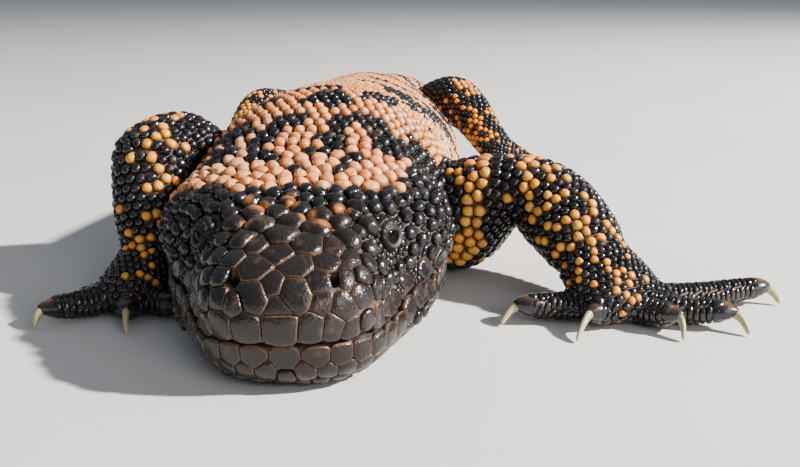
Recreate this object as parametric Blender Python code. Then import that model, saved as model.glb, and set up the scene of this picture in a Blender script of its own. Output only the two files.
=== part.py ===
# Gila monster, a life-size still model that rests its chin, belly, tail and feet on the ground.
# Metres, +Z up. The head faces -Y and +X is the animal's left.
# The tables are in millimetres from the tip of the snout, and MM turns them into metres.

import bmesh
import bpy
import numpy as np
from mathutils import Vector

MM = 0.001
GAP = 0.3
BODY_SIDES = 36
TAIL_SIDES = 24
LIMB_SIDES = 14
TOE_SIDES = 9
CLAW_SIDES = 6
CLAW_RINGS = 6

# Where the body is divided, as distances from the snout.
NECK_START = 54.0
NECK_END = 76.0
TRUNK_MIDDLE = 165.0
TAIL_START = 276.0
TAIL_MIDDLE = 322.0
TAIL_LAST = 368.0
TAIL_END = 412.0

# Lengths over which the two jaws and the end of the tail are rounded off.
SNOUT_ROUNDING = 11.0
CHIN_ROUNDING = 10.0
CHIN_START = 1.2
TAIL_ROUNDING = 10.0
SNOUT_HEIGHT = 13.5
CHIN_HEIGHT = 7.0

# Distance from the snout, then the sideways place of the spine.
SPINE = (
    (0, -3.3), (52, -3.3), (78, -1.0), (110, 2.0), (156, 4.4), (190, 4.2), (225, 2.0), (262, 0.5),
    (290, 1.5), (320, 5.0), (350, 10.0), (380, 17.0), (412, 26.0),
)

# Distance, half width, top, bottom, height of the widest place, squareness above and below it.
HEAD = (
    (0, 16.0, 23.5, 4.0, 13.5, 2.6, 2.2),
    (6, 16.6, 24.6, 3.5, 13.5, 2.6, 2.2),
    (12, 17.4, 26.5, 3.0, 14.0, 2.6, 2.2),
    (18, 18.6, 28.3, 2.0, 14.5, 2.5, 2.2),
    (24, 20.4, 29.8, 1.0, 15.5, 2.4, 2.2),
    (30, 25.0, 31.0, 0.0, 16.5, 2.3, 2.2),
    (36, 29.8, 32.2, -1.0, 17.5, 2.2, 2.2),
    (44, 32.4, 34.0, -1.0, 18.5, 2.2, 2.2),
    (54, 30.2, 37.6, -1.0, 19.0, 2.2, 2.6),
)
JAW = (
    (0, 15.0, 17.0, -0.5, 7.0, 2.4, 2.4),
    (6, 16.6, 17.0, -0.5, 7.0, 2.4, 2.4),
    (12, 19.0, 17.0, -0.5, 7.0, 2.4, 2.4),
    (18, 21.8, 18.0, -0.5, 7.0, 2.4, 2.4),
    (24, 24.9, 19.0, -0.5, 7.5, 2.4, 2.4),
    (30, 27.8, 20.0, -0.5, 8.5, 2.4, 2.4),
    (36, 29.6, 22.0, -0.5, 9.0, 2.4, 2.3),
    (44, 30.9, 30.0, -0.5, 9.2, 2.3, 2.1),
    (54, 28.2, 37.6, -0.5, 9.2, 2.2, 1.84),
)
TRUNK = (
    (54, 30.2, 37.6, -0.5, 19.0, 2.2, 2.6),
    (60, 30.4, 40.6, -0.5, 18.5, 2.15, 2.7),
    (66, 31.0, 43.0, -0.5, 18.5, 2.1, 2.8),
    (72, 31.6, 44.8, -0.5, 19.0, 2.05, 2.8),
    (80, 32.2, 45.6, -0.5, 19.0, 2.0, 2.8),
    (95, 32.8, 45.2, -0.5, 18.0, 1.95, 2.8),
    (115, 33.4, 43.8, -0.5, 16.0, 1.9, 2.8),
    (130, 33.0, 42.6, -0.5, 15.0, 1.8, 2.9),
    (156, 32.8, 41.3, -0.5, 14.0, 1.75, 3.0),
    (190, 32.0, 38.4, -0.5, 13.5, 1.75, 3.0),
    (220, 29.4, 34.6, -0.5, 13.5, 1.85, 2.8),
    (251, 26.5, 30.5, -0.5, 13.5, 2.0, 2.6),
    (270, 23.0, 27.5, -0.5, 13.0, 2.05, 2.5),
    (284, 20.0, 26.0, -0.4, 12.5, 2.1, 2.4),
    (320, 17.5, 24.5, -0.4, 12.0, 2.1, 2.3),
    (350, 16.0, 22.0, -0.4, 11.0, 2.1, 2.3),
    (380, 13.5, 18.0, -0.4, 9.0, 2.1, 2.3),
    (400, 10.5, 14.0, -0.4, 7.0, 2.1, 2.3),
    (412, 8.0, 11.0, -0.4, 5.6, 2.1, 2.3),
)

# Distance and height of the line of the mouth.
MOUTH = ((0, 9.7), (15, 9.6), (24, 10.3), (30, 10.3), (36, 9.8), (44, 9.5), (54, 9.5))

# The eyes, brows, nostrils and ears, as (sideways from the spine, distance, height).
EYE_PLACE = (16.0, 24.0, 23.3)
EYE_RADIUS = 3.3
EYE_AXIS = (0.93, -0.28, 0.16)
LID_RADIUS = 3.2
LID_THICKNESS = 0.7
LID_REACH = 2.7
BROW_PLACE = (15.0, 23.5, 28.0)
BROW_SPREAD = 4.5
BROW_RISE = 1.1
NOSTRIL_AT = (4.4, 21.0)
NOSTRIL_SIZE = (1.5, 1.7, 1.4)
EAR_AT = (47.0, 20.0)
EAR_SIZE = (2.2, 1.3, 3.2)

# Each limb is a path of (share of its length, x, y, z, half width, half height).
# It is divided near the elbow or knee, and ends at the wrist or ankle.
FRONT_LEFT = (
    (0.00, 16.0, 82.0, 14.0, 13.0, 13.0),
    (0.22, 30.0, 72.5, 14.4, 12.0, 14.2),
    (0.38, 40.0, 68.0, 20.6, 10.2, 10.6),
    (0.50, 46.6, 66.0, 22.4, 9.6, 8.6),
    (0.60, 51.0, 63.8, 21.0, 9.8, 9.4),
    (0.70, 54.6, 60.5, 18.4, 10.2, 10.0),
    (0.85, 58.6, 52.5, 14.2, 9.8, 9.0),
    (1.00, 61.5, 45.5, 9.6, 9.4, 7.4),
)
FRONT_RIGHT = (
    (0.00, -18.0, 90.0, 16.0, 11.0, 11.0),
    (0.22, -28.5, 81.5, 22.0, 10.5, 9.0),
    (0.42, -38.0, 74.0, 32.8, 10.4, 7.6),
    (0.58, -42.0, 64.8, 31.0, 9.8, 7.6),
    (0.78, -41.6, 56.6, 18.8, 8.4, 7.6),
    (0.90, -41.0, 53.4, 12.5, 7.3, 7.4),
    (1.00, -41.4, 50.2, 9.0, 7.0, 6.6),
)
HIND_LEFT = (
    (0.00, 11.0, 256.0, 13.0, 12.0, 11.0),
    (0.25, 24.0, 240.0, 15.4, 10.4, 9.6),
    (0.48, 39.0, 219.0, 24.0, 10.6, 10.0),
    (0.60, 44.5, 210.0, 21.4, 9.0, 8.8),
    (0.82, 51.5, 196.0, 13.0, 7.0, 7.0),
    (1.00, 56.0, 187.5, 8.0, 7.4, 6.2),
)
HIND_RIGHT = (
    (0.00, -11.0, 256.0, 12.0, 12.0, 11.0),
    (0.25, -25.0, 241.0, 13.6, 10.4, 9.6),
    (0.50, -40.0, 223.0, 18.8, 10.4, 9.8),
    (0.62, -43.4, 212.0, 16.4, 8.6, 8.4),
    (0.82, -46.0, 200.0, 11.0, 7.2, 7.0),
    (1.00, -48.0, 190.5, 8.0, 7.4, 6.2),
)
JOINT_SHARES = {"front": 0.36, "hind": 0.5}
JOINT_OVERLAP = 0.03
UPPER_RINGS = 7
LOWER_RINGS = 11

# A ring across a limb turns with the path as it runs over this share to each side of it,
# and reaches this share of the way to the centre of a bend.
TURN_SPAN = 0.06
INNER_REACH = 0.5

# Each foot is a pad of (x, y, z, half width, half height) stations from wrist or ankle to knuckles,
# and toes from first to fifth, each as the place of its tip and the x and y of its claw's point.
FRONT_LEFT_PAD = ((61.8, 44.9, 9.2, 9.3, 7.2), (64.4, 40.5, 6.6, 10.5, 6.4), (67.0, 36.0, 4.4, 9.0, 4.6))
FRONT_RIGHT_PAD = ((-41.5, 49.8, 8.6, 7.0, 6.4), (-42.8, 45.6, 6.2, 7.6, 5.6), (-44.4, 41.4, 4.6, 7.2, 4.6))
HIND_LEFT_PAD = ((56.4, 186.8, 7.7, 7.3, 6.0), (60.0, 179.0, 5.4, 9.6, 5.2), (63.0, 172.0, 4.0, 8.8, 4.2))
FRONT_LEFT_TOES = (
    (43.0, 36.0, 4.2, 38.8, 33.6),
    (57.4, 31.0, 4.6, 53.2, 24.8),
    (75.0, 30.0, 4.3, 75.2, 25.4),
    (87.2, 32.0, 4.2, 89.9, 28.2),
    (100.4, 47.5, 4.2, 104.0, 46.0),
)
FRONT_RIGHT_TOES = (
    (-32.4, 37.2, 3.4, -30.6, 34.0),
    (-41.4, 33.2, 4.4, -40.3, 28.8),
    (-59.3, 34.5, 4.0, -60.4, 31.2),
    (-55.4, 41.0, 3.6, -59.0, 40.2),
    (-47.5, 54.0, 3.6, -48.8, 57.8),
)
HIND_LEFT_TOES = (
    (51.0, 163.0, 3.8, 49.4, 159.2),
    (57.5, 154.5, 4.0, 57.0, 150.2),
    (66.0, 150.5, 4.2, 67.0, 146.2),
    (73.5, 154.0, 4.2, 76.0, 150.4),
    (76.5, 165.5, 4.0, 80.4, 163.6),
)
PAD_OVERLAP = 0.5
PAD_FRONT = 0.55
PAD_FRONT_SIZE = (3.0, 3.6, 2.6)
TOE_ROOT_RADIUS = 3.7
TOE_TIP_RADIUS = 2.9
TOE_MIDDLE_HEIGHT = 3.3
TOE_ROOT_HEIGHT = 4.4
TOE_SET_BACK = 0.35
TOE_END_RADIUS = 1.5
TOE_MIDDLE = 0.55
TOE_NEAR_END = 0.82
TOE_SHARES = (0.0, 0.164, 0.328, 0.492, 0.656, 0.82, 0.93, 0.97, 1.0)

# A claw starts inside the toe by its root, and runs on by its bend before it comes down.
CLAW_RADIUS = 1.3
CLAW_POINT_RADIUS = 0.3
CLAW_POINT_HEIGHT = 0.35
CLAW_ROOT = 0.8
CLAW_BEND = 2.8

# The right hind foot is the left one mirrored over this x and set back by this much.
FOOT_MIDDLE = 4.0
FOOT_SET_BACK = 3.0

# The look of each kind of piece is its colour and its roughness.
FACE_LOOK = ((0.045, 0.04, 0.042, 1.0), 0.42)
BACK_LOOK = ((0.62, 0.28, 0.14, 1.0), 0.45)
LIMB_LOOK = ((0.30, 0.14, 0.05, 1.0), 0.42)
EYE_LOOK = ((0.02, 0.012, 0.01, 1.0), 0.08)
CLAW_LOOK = ((0.58, 0.54, 0.34, 1.0), 0.35)


def smooth(table, at):
    """Reads a table between its stations along a curve that does not overshoot them."""
    table = np.asarray(table, float)
    knots, values = table[:, 0], table[:, 1:]
    spans = np.diff(knots)
    rise = np.diff(values, axis=0) / spans[:, None]
    product = rise[:-1] * rise[1:]
    total = np.where(product > 0, rise[:-1] + rise[1:], 1)
    slope = np.vstack([rise[:1], np.where(product > 0, 2 * product / total, 0), rise[-1:]])
    at = np.clip(np.atleast_1d(np.asarray(at, float)), knots[0], knots[-1])
    i = np.clip(np.searchsorted(knots, at, side="right") - 1, 0, len(spans) - 1)
    span = spans[i][:, None]
    t = (at[:, None] - knots[i][:, None]) / span
    start = values[i] * (1 + 2 * t) * (1 - t) ** 2 + slope[i] * span * t * (1 - t) ** 2
    end = values[i + 1] * t**2 * (3 - 2 * t) + slope[i + 1] * span * t**2 * (t - 1)
    return start + end


def rounded(distance, length, power=2.4):
    """Grows from 0 to 1 over a length, as the profile of a blunt nose does."""
    share = np.clip(distance / length, 0, 1)
    return (1 - (1 - share) ** power) ** (1 / power)


def body_rings(table, stations, sides, grow=0.0):
    """Rings across the body at the given stations, each a superellipse with unlike halves."""
    width, top, bottom, widest, above, below = smooth(table, stations).T[:, :, None]
    angle = np.linspace(0, 2 * np.pi, sides, endpoint=False)[None, :]
    across, upward = np.sin(angle), np.cos(angle)
    power = 2 / np.where(upward >= 0, above, below)
    reach = np.where(upward >= 0, top - widest, widest - bottom) + grow
    x = smooth(SPINE, stations) + (width + grow) * np.sign(across) * np.abs(across) ** power
    z = widest + reach * np.sign(upward) * np.abs(upward) ** power
    y = np.broadcast_to(stations[:, None], x.shape)
    return np.stack([x, y, z], axis=2)


def round_off(rings, stations, start, length, height):
    """Draws the first rings in towards the spine and a height, so that a snout or a chin is blunt."""
    share = rounded(stations - start, length)[:, None]
    middle = smooth(SPINE, stations)
    rings = rings.copy()
    rings[:, :, 0] = middle + (rings[:, :, 0] - middle) * share
    rings[:, :, 2] = height + (rings[:, :, 2] - height) * share
    return rings


def nose_stations(start, length, end, front, back):
    """Stations that lie close together at a rounded end and evenly after it."""
    turn = np.linspace(0.16, np.pi / 2, front)
    first = start + length * (1 - np.cos(turn))
    return np.concatenate([first, np.linspace(start + length, end, back + 1)[1:]])


def swell(rings, place, spread, rise):
    """Lifts the surface round one place and its mirror image, as a brow does."""
    rings = rings.copy()
    for side in (-1, 1):
        middle = smooth(SPINE, place[1])[0, 0] + side * place[0]
        away = rings - np.array([middle, place[1], place[2]])
        near = np.exp(-(away**2).sum(axis=2) / (2 * spread**2))
        rings[:, :, 2] += rise * near
        rings[:, :, 0] += side * 0.5 * rise * near
    return rings


def mesh_from_rings(name, rings, look, folder):
    """A closed body through rings of points, with a fan of triangles over each end."""
    count, sides = rings.shape[:2]
    centres = rings[[0, -1]].mean(axis=1)
    points = np.vstack([rings.reshape(-1, 3), centres]) * MM
    here = np.arange(sides)
    after = (here + 1) % sides
    faces = []
    for ring in range(count - 1):
        low, high = ring * sides, (ring + 1) * sides
        faces += np.stack([low + here, low + after, high + after, high + here], axis=1).tolist()
    last = (count - 1) * sides
    faces += [(a, count * sides, b) for a, b in zip(here.tolist(), after.tolist())]
    faces += [(last + b, count * sides + 1, last + a) for a, b in zip(here.tolist(), after.tolist())]
    mesh = bpy.data.meshes.new(name)
    mesh.from_pydata(points.tolist(), [], faces)
    return finished(name, mesh, look, folder)


def finished(name, mesh, look, folder):
    """Turns the faces outward, shades them smooth and puts the object in its collection."""
    shape = bmesh.new()
    shape.from_mesh(mesh)
    bmesh.ops.triangulate(shape, faces=shape.faces[:])
    bmesh.ops.recalc_face_normals(shape, faces=shape.faces[:])
    shape.to_mesh(mesh)
    shape.free()
    mesh.shade_smooth()
    obj = bpy.data.objects.new(name, mesh)
    folder.objects.link(obj)
    if look is None:
        obj.hide_render = True
        obj.display_type = "WIRE"
    else:
        obj.data.materials.append(material(name, *look))
    return obj


def material(name, colour, roughness):
    """A plain surface for one piece."""
    made = bpy.data.materials.new(name)
    made.use_nodes = True
    shader = made.node_tree.nodes["Principled BSDF"]
    shader.inputs["Base Color"].default_value = colour
    shader.inputs["Roughness"].default_value = roughness
    shader.inputs["Metallic"].default_value = 0.0
    return made


def keep_largest(mesh):
    """Leaves only the closed surface with the largest volume."""
    shape = bmesh.new()
    shape.from_mesh(mesh)
    left = set(shape.faces)
    surfaces = []
    while left:
        found = {left.pop()}
        edge_of_search = list(found)
        while edge_of_search:
            face = edge_of_search.pop()
            beside = {other for edge in face.edges for other in edge.link_faces} & left
            left -= beside
            found |= beside
            edge_of_search += beside
        surfaces.append(found)
    sizes = [
        abs(sum(face.calc_center_median().dot(face.normal) * face.calc_area() for face in faces))
        for faces in surfaces
    ]
    largest = surfaces[sizes.index(max(sizes))]
    bmesh.ops.delete(shape, geom=[face for face in shape.faces if face not in largest], context="FACES")
    bmesh.ops.triangulate(shape, faces=shape.faces[:])
    shape.to_mesh(mesh)
    shape.free()


def combine(obj, joined, cutters):
    """Joins some closed pieces to an object, cuts others out of it, and keeps one body."""
    if joined:
        group = bpy.data.collections.new(obj.name + "_joined")
        bpy.context.scene.collection.children.link(group)
        for piece in joined:
            for home in list(piece.users_collection):
                home.objects.unlink(piece)
            group.objects.link(piece)
        union = obj.modifiers.new("Join", "BOOLEAN")
        union.operation = "UNION"
        union.operand_type = "COLLECTION"
        union.collection = group
    for cutter in cutters:
        cut = obj.modifiers.new("Cut", "BOOLEAN")
        cut.operation = "DIFFERENCE"
        cut.solver = "MANIFOLD"
        cut.object = cutter
    bpy.context.view_layer.update()
    graph = bpy.context.evaluated_depsgraph_get()
    made = bpy.data.meshes.new_from_object(obj.evaluated_get(graph))
    obj.modifiers.clear()
    obj.data = made
    keep_largest(made)
    for piece in joined:
        bpy.data.objects.remove(piece)
    if joined:
        bpy.data.collections.remove(group)


def head_surface(distance, height):
    """Sideways reach of the head from the spine at a distance and a height above its widest place."""
    width, top, _, widest, above, _ = smooth(HEAD, distance)[0]
    share = np.clip((height - widest) / (top - widest), 0, 1)
    return width * (1 - share**above) ** (1 / above)


def ellipsoid(name, place, size, look, folder, detail=(14, 9)):
    """A closed ellipsoid at a place."""
    shape = bmesh.new()
    bmesh.ops.create_uvsphere(shape, u_segments=detail[0], v_segments=detail[1], radius=1.0)
    bmesh.ops.scale(shape, vec=Vector(size) * MM, verts=shape.verts)
    bmesh.ops.translate(shape, vec=Vector(place) * MM, verts=shape.verts)
    mesh = bpy.data.meshes.new(name)
    shape.to_mesh(mesh)
    shape.free()
    return finished(name, mesh, look, folder)


def mirrored(place, side):
    """A place given sideways from the spine, on one side of the head."""
    return (smooth(SPINE, place[1])[0, 0] + side * place[0], place[1], place[2])


def lid(side, folder):
    """A raised ring of skin round one eye, which the two lids make."""
    axis = Vector((side * EYE_AXIS[0], EYE_AXIS[1], EYE_AXIS[2])).normalized()
    turn = axis.to_track_quat("Z", "Y")
    middle = Vector(mirrored(EYE_PLACE, side)) + axis * LID_REACH
    around = np.linspace(0, 2 * np.pi, 14, endpoint=False)
    thick = np.linspace(0, 2 * np.pi, 6, endpoint=False)
    shape = bmesh.new()
    grid = []
    for a in around:
        ring = []
        for b in thick:
            reach = LID_RADIUS + LID_THICKNESS * np.cos(b)
            point = Vector((reach * np.cos(a), reach * np.sin(a), LID_THICKNESS * np.sin(b)))
            ring.append(shape.verts.new((middle + turn @ point) * MM))
        grid.append(ring)
    for i, ring in enumerate(grid):
        after = grid[(i + 1) % len(grid)]
        for j in range(len(thick)):
            k = (j + 1) % len(thick)
            shape.faces.new((ring[j], ring[k], after[k], after[j]))
    mesh = bpy.data.meshes.new("lid")
    shape.to_mesh(mesh)
    shape.free()
    return finished("lid", mesh, None, folder)


def limb_direction(path, shares):
    """The direction of a limb's path at some shares of its length, and the way it has come there."""
    way = smooth(path, shares + TURN_SPAN)[:, :3] - smooth(path, shares - TURN_SPAN)[:, :3]
    length = np.linalg.norm(way, axis=1)[:, None]
    return way / length, length


def limb_rings(path, shares, sides):
    """Rings across a limb at some shares of its length. None reaches below the ground,
    or past the centre of a bend, where it would cross its neighbours."""
    table = smooth(path, shares)
    ahead, length = limb_direction(path, shares)
    side = np.cross(ahead, [0, 0, 1])
    side /= np.linalg.norm(side, axis=1)[:, None]
    up = np.cross(side, ahead)
    angle = np.linspace(0, 2 * np.pi, sides, endpoint=False)
    offsets = (
        side[:, None, :] * table[:, None, 3:4] * np.cos(angle)[None, :, None]
        + up[:, None, :] * table[:, None, 4:5] * np.sin(angle)[None, :, None]
    )
    before = limb_direction(path, np.clip(shares - TURN_SPAN, 0, 1))[0]
    after = limb_direction(path, np.clip(shares + TURN_SPAN, 0, 1))[0]
    bend = (after - before) / length
    tightness = np.maximum((bend**2).sum(axis=1), 1e-9)[:, None]
    inward = (offsets * bend[:, None, :]).sum(axis=2)
    excess = np.maximum(inward - INNER_REACH, 0) / tightness
    rings = table[:, None, :3] + offsets - excess[:, :, None] * bend[:, None, :]
    rings[:, :, 2] = np.maximum(rings[:, :, 2], 0)
    return rings


def other_side(table, sideways, lengthways):
    """Mirrors a table of the left hind foot and sets it back. Its x and y values are in the columns given."""
    rows = np.array(table, float)
    rows[:, sideways] = 2 * FOOT_MIDDLE - rows[:, sideways]
    rows[:, lengthways] += FOOT_SET_BACK
    return rows


def toe_path(tip, pad):
    """The path of one toe, from inside the pad of its foot to a blunt end."""
    tip = np.array(tip, float)
    pad_middle = np.array(pad[1][:3])
    pad_front = np.array(pad[2][:3])
    root = pad_middle + (pad_front - pad_middle) * TOE_SET_BACK
    root[2] = TOE_ROOT_HEIGHT
    middle = root + (tip - root) * TOE_MIDDLE
    middle[2] = TOE_MIDDLE_HEIGHT
    near = root + (tip - root) * TOE_NEAR_END
    near[2] = 0.5 * (tip[2] + TOE_MIDDLE_HEIGHT)
    rows = (
        (0.0, *root, TOE_ROOT_RADIUS, TOE_ROOT_RADIUS),
        (TOE_MIDDLE, *middle, TOE_TIP_RADIUS + 0.5, TOE_TIP_RADIUS + 0.5),
        (TOE_NEAR_END, *near, TOE_TIP_RADIUS, TOE_TIP_RADIUS),
        (0.94, *(near + (tip - near) * 0.67), TOE_TIP_RADIUS - 0.3, TOE_TIP_RADIUS - 0.3),
        (1.0, *tip, TOE_END_RADIUS, TOE_END_RADIUS),
    )
    return np.array(rows)


def toe(path, grow, folder):
    """One toe, which a growth makes thicker and longer."""
    path = path.copy()
    path[:, 4:] += grow
    rings = limb_rings(path, np.array(TOE_SHARES), TOE_SIDES)
    rings[-1] += toe_direction(path) * grow
    return mesh_from_rings("toe", rings, None, folder)


def toe_direction(path):
    """The direction in which a toe ends."""
    ahead = path[-1, 1:4] - path[-3, 1:4]
    return ahead / np.linalg.norm(ahead)


def claw(name, path, point, folder):
    """A curved claw that starts inside the end of a toe and comes down to the ground."""
    ahead = toe_direction(path)
    start = path[-1, 1:4] - ahead * CLAW_ROOT
    corner = start + ahead * CLAW_BEND
    end = np.array([*point, CLAW_POINT_HEIGHT])
    share = np.linspace(0, 1, CLAW_RINGS)
    centre = (
        start * ((1 - share) ** 2)[:, None]
        + corner * (2 * share * (1 - share))[:, None]
        + end * (share**2)[:, None]
    )
    radius = CLAW_RADIUS + (CLAW_POINT_RADIUS - CLAW_RADIUS) * share**1.3
    path = np.column_stack([share, centre, radius, radius])
    return mesh_from_rings(name, limb_rings(path, share, CLAW_SIDES), CLAW_LOOK, folder)


def foot(name, pad, tips, parts, cutters, grown):
    """A pad and five toes in one body, with a claw of its own on each toe."""
    ends = np.array(pad, float)
    start = ends[0].copy()
    start[:3] -= (ends[1, :3] - ends[0, :3]) * PAD_OVERLAP
    finish = ends[2].copy()
    finish[:3] += (ends[2, :3] - ends[1, :3]) * PAD_FRONT
    finish[2:] = PAD_FRONT_SIZE
    rows = np.vstack([start, ends, finish])
    path = np.column_stack([np.linspace(0, 1, len(rows)), rows])
    base = mesh_from_rings(name, limb_rings(path, np.linspace(0, 1, 7), LIMB_SIDES), LIMB_LOOK, parts)
    paths = [toe_path(place[:3], pad) for place in tips]
    combine(base, [toe(path, 0, cutters) for path in paths], grown)
    clearance = [toe(path, GAP, cutters) for path in paths]
    for number, (path, place) in enumerate(zip(paths, tips), start=1):
        combine(claw(f"{name}_claw_{number}", path, place[3:], parts), [], clearance)


def grown_limb(path, shares, cutters):
    """A length of a limb grown by the gap, and past its end by the gap."""
    table = np.array(path, float)
    table[:, 4:] += GAP
    rings = limb_rings(table, shares, LIMB_SIDES)
    ahead = smooth(table, shares[-1])[0, :3] - smooth(table, shares[-1] - 0.01)[0, :3]
    rings[-1] += ahead / np.linalg.norm(ahead) * GAP
    return mesh_from_rings("grown_limb", rings, None, cutters)


def limb(names, path, joint, parts, cutters, grown):
    """The upper and lower lengths of a limb, each cut clear of what it grows from."""
    upper = np.linspace(0.0, joint, UPPER_RINGS)
    lower = np.linspace(joint - JOINT_OVERLAP, 1.0, LOWER_RINGS)
    first = mesh_from_rings(names[0], limb_rings(path, upper, LIMB_SIDES), LIMB_LOOK, parts)
    second = mesh_from_rings(names[1], limb_rings(path, lower, LIMB_SIDES), LIMB_LOOK, parts)
    combine(first, [], grown)
    combine(second, [], [*grown, grown_limb(path, upper, cutters)])
    return grown_limb(path, lower, cutters)


def build_head(parts, cutters):
    """The skull with its brows, lids, nostrils and ears, the lower jaw, and the eyes."""
    stations = nose_stations(0, SNOUT_ROUNDING, NECK_START, 8, 18)
    rings = round_off(body_rings(HEAD, stations, BODY_SIDES), stations, 0, SNOUT_ROUNDING, SNOUT_HEIGHT)
    rings = swell(rings, BROW_PLACE, BROW_SPREAD, BROW_RISE)
    mouth = smooth(MOUTH, stations)
    rings[:, :, 2] = np.maximum(rings[:, :, 2], mouth + GAP / 2)
    head = mesh_from_rings("head", rings, FACE_LOOK, parts)

    stations = nose_stations(CHIN_START, CHIN_ROUNDING, NECK_START, 8, 14)
    rings = body_rings(JAW, stations, BODY_SIDES)
    rings = round_off(rings, stations, CHIN_START, CHIN_ROUNDING, CHIN_HEIGHT)
    mouth = smooth(MOUTH, stations)
    rings[:, :, 2] = np.clip(rings[:, :, 2], 0, mouth - GAP / 2)
    mesh_from_rings("lower_jaw", rings, FACE_LOOK, parts)

    lids = []
    holes = []
    for side, word in ((1, "left"), (-1, "right")):
        place = mirrored(EYE_PLACE, side)
        ellipsoid(f"eye_{word}", place, (EYE_RADIUS,) * 3, EYE_LOOK, parts)
        holes.append(ellipsoid("socket", place, (EYE_RADIUS + GAP,) * 3, None, cutters, (20, 12)))
        lids.append(lid(side, cutters))
        for at, size in ((NOSTRIL_AT, NOSTRIL_SIZE), (EAR_AT, EAR_SIZE)):
            reach = head_surface(*at) * rounded(at[0], SNOUT_ROUNDING)
            holes.append(ellipsoid("pit", mirrored((reach, *at), side), size, None, cutters))
    combine(head, lids, holes)


def build_body(parts):
    """The neck, the two halves of the trunk and the three lengths of the tail."""
    lengths = (
        ("neck", NECK_START, NECK_END, 8, BODY_SIDES, FACE_LOOK),
        ("trunk_front", NECK_END, TRUNK_MIDDLE, 14, BODY_SIDES, BACK_LOOK),
        ("trunk_rear", TRUNK_MIDDLE, TAIL_START, 14, BODY_SIDES, BACK_LOOK),
        ("tail_base", TAIL_START, TAIL_MIDDLE, 8, TAIL_SIDES, BACK_LOOK),
        ("tail_middle", TAIL_MIDDLE, TAIL_LAST, 8, TAIL_SIDES, BACK_LOOK),
        ("tail_tip", TAIL_LAST, TAIL_END, 8, TAIL_SIDES, BACK_LOOK),
    )
    for name, start, end, count, sides, look in lengths:
        stations = np.linspace(start + GAP, end, count)
        if name == "tail_tip":
            stations = end - nose_stations(0, TAIL_ROUNDING, end - start - GAP, 6, count)[::-1]
        rings = body_rings(TRUNK, stations, sides)
        if name == "tail_tip":
            share = rounded(end - stations, TAIL_ROUNDING, 2.0)[:, None]
            middle = smooth(SPINE, stations)
            rings[:, :, 0] = middle + (rings[:, :, 0] - middle) * share
            rings[:, :, 2] *= 0.25 + 0.75 * share
        rings[:, :, 2] = np.maximum(rings[:, :, 2], 0)
        mesh_from_rings(name, rings, look, parts)


def body_cutters(cutters):
    """The whole head and body grown by the gap, which clears the roots of the limbs."""
    stations = np.linspace(NECK_START - GAP, TAIL_START + 20, 40)
    body = mesh_from_rings("grown_body", body_rings(TRUNK, stations, BODY_SIDES, GAP), None, cutters)
    stations = np.linspace(12, NECK_START + GAP, 14)
    head = mesh_from_rings("grown_head", body_rings(HEAD, stations, BODY_SIDES, GAP), None, cutters)
    jaw = mesh_from_rings("grown_jaw", body_rings(JAW, stations, BODY_SIDES, GAP), None, cutters)
    return [body, head, jaw]


def build_limbs(parts, cutters):
    """Four limbs with their feet."""
    grown = body_cutters(cutters)
    hind_right_pad = other_side(HIND_LEFT_PAD, [0], [1])
    hind_right_toes = other_side(HIND_LEFT_TOES, [0, 3], [1, 4])
    limbs = (
        ("left", "front", FRONT_LEFT, FRONT_LEFT_PAD, FRONT_LEFT_TOES),
        ("right", "front", FRONT_RIGHT, FRONT_RIGHT_PAD, FRONT_RIGHT_TOES),
        ("left", "hind", HIND_LEFT, HIND_LEFT_PAD, HIND_LEFT_TOES),
        ("right", "hind", HIND_RIGHT, hind_right_pad, hind_right_toes),
    )
    lengths = {"front": ("upper_arm", "forearm", "hand"), "hind": ("thigh", "shin", "foot")}
    for side, place, path, pad, tips in limbs:
        upper, lower, end = (f"{word}_{side}" for word in lengths[place])
        lower_grown = limb((upper, lower), path, JOINT_SHARES[place], parts, cutters, grown)
        foot(end, pad, tips, parts, cutters, [*grown, lower_grown])


def centre_on_origin(parts):
    """Moves every piece so that the origin is under the middle of the whole."""
    corners = np.array([obj.matrix_world @ Vector(c) for obj in parts.objects for c in obj.bound_box])
    middle = (corners.min(axis=0) + corners.max(axis=0)) / 2
    for obj in parts.objects:
        obj.location = (-middle[0], -middle[1], 0)


def main():
    for obj in list(bpy.data.objects):
        bpy.data.objects.remove(obj)
    parts = bpy.data.collections.new("GilaMonster")
    cutters = bpy.data.collections.new("Cutters")
    bpy.context.scene.collection.children.link(parts)
    bpy.context.scene.collection.children.link(cutters)
    build_head(parts, cutters)
    build_body(parts)
    build_limbs(parts, cutters)
    bpy.context.view_layer.update()
    centre_on_origin(parts)


main()
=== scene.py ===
import math
import time

import bmesh
import bpy
import numpy as np
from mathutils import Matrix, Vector
from mathutils.bvhtree import BVHTree
from mathutils.kdtree import KDTree


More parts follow.
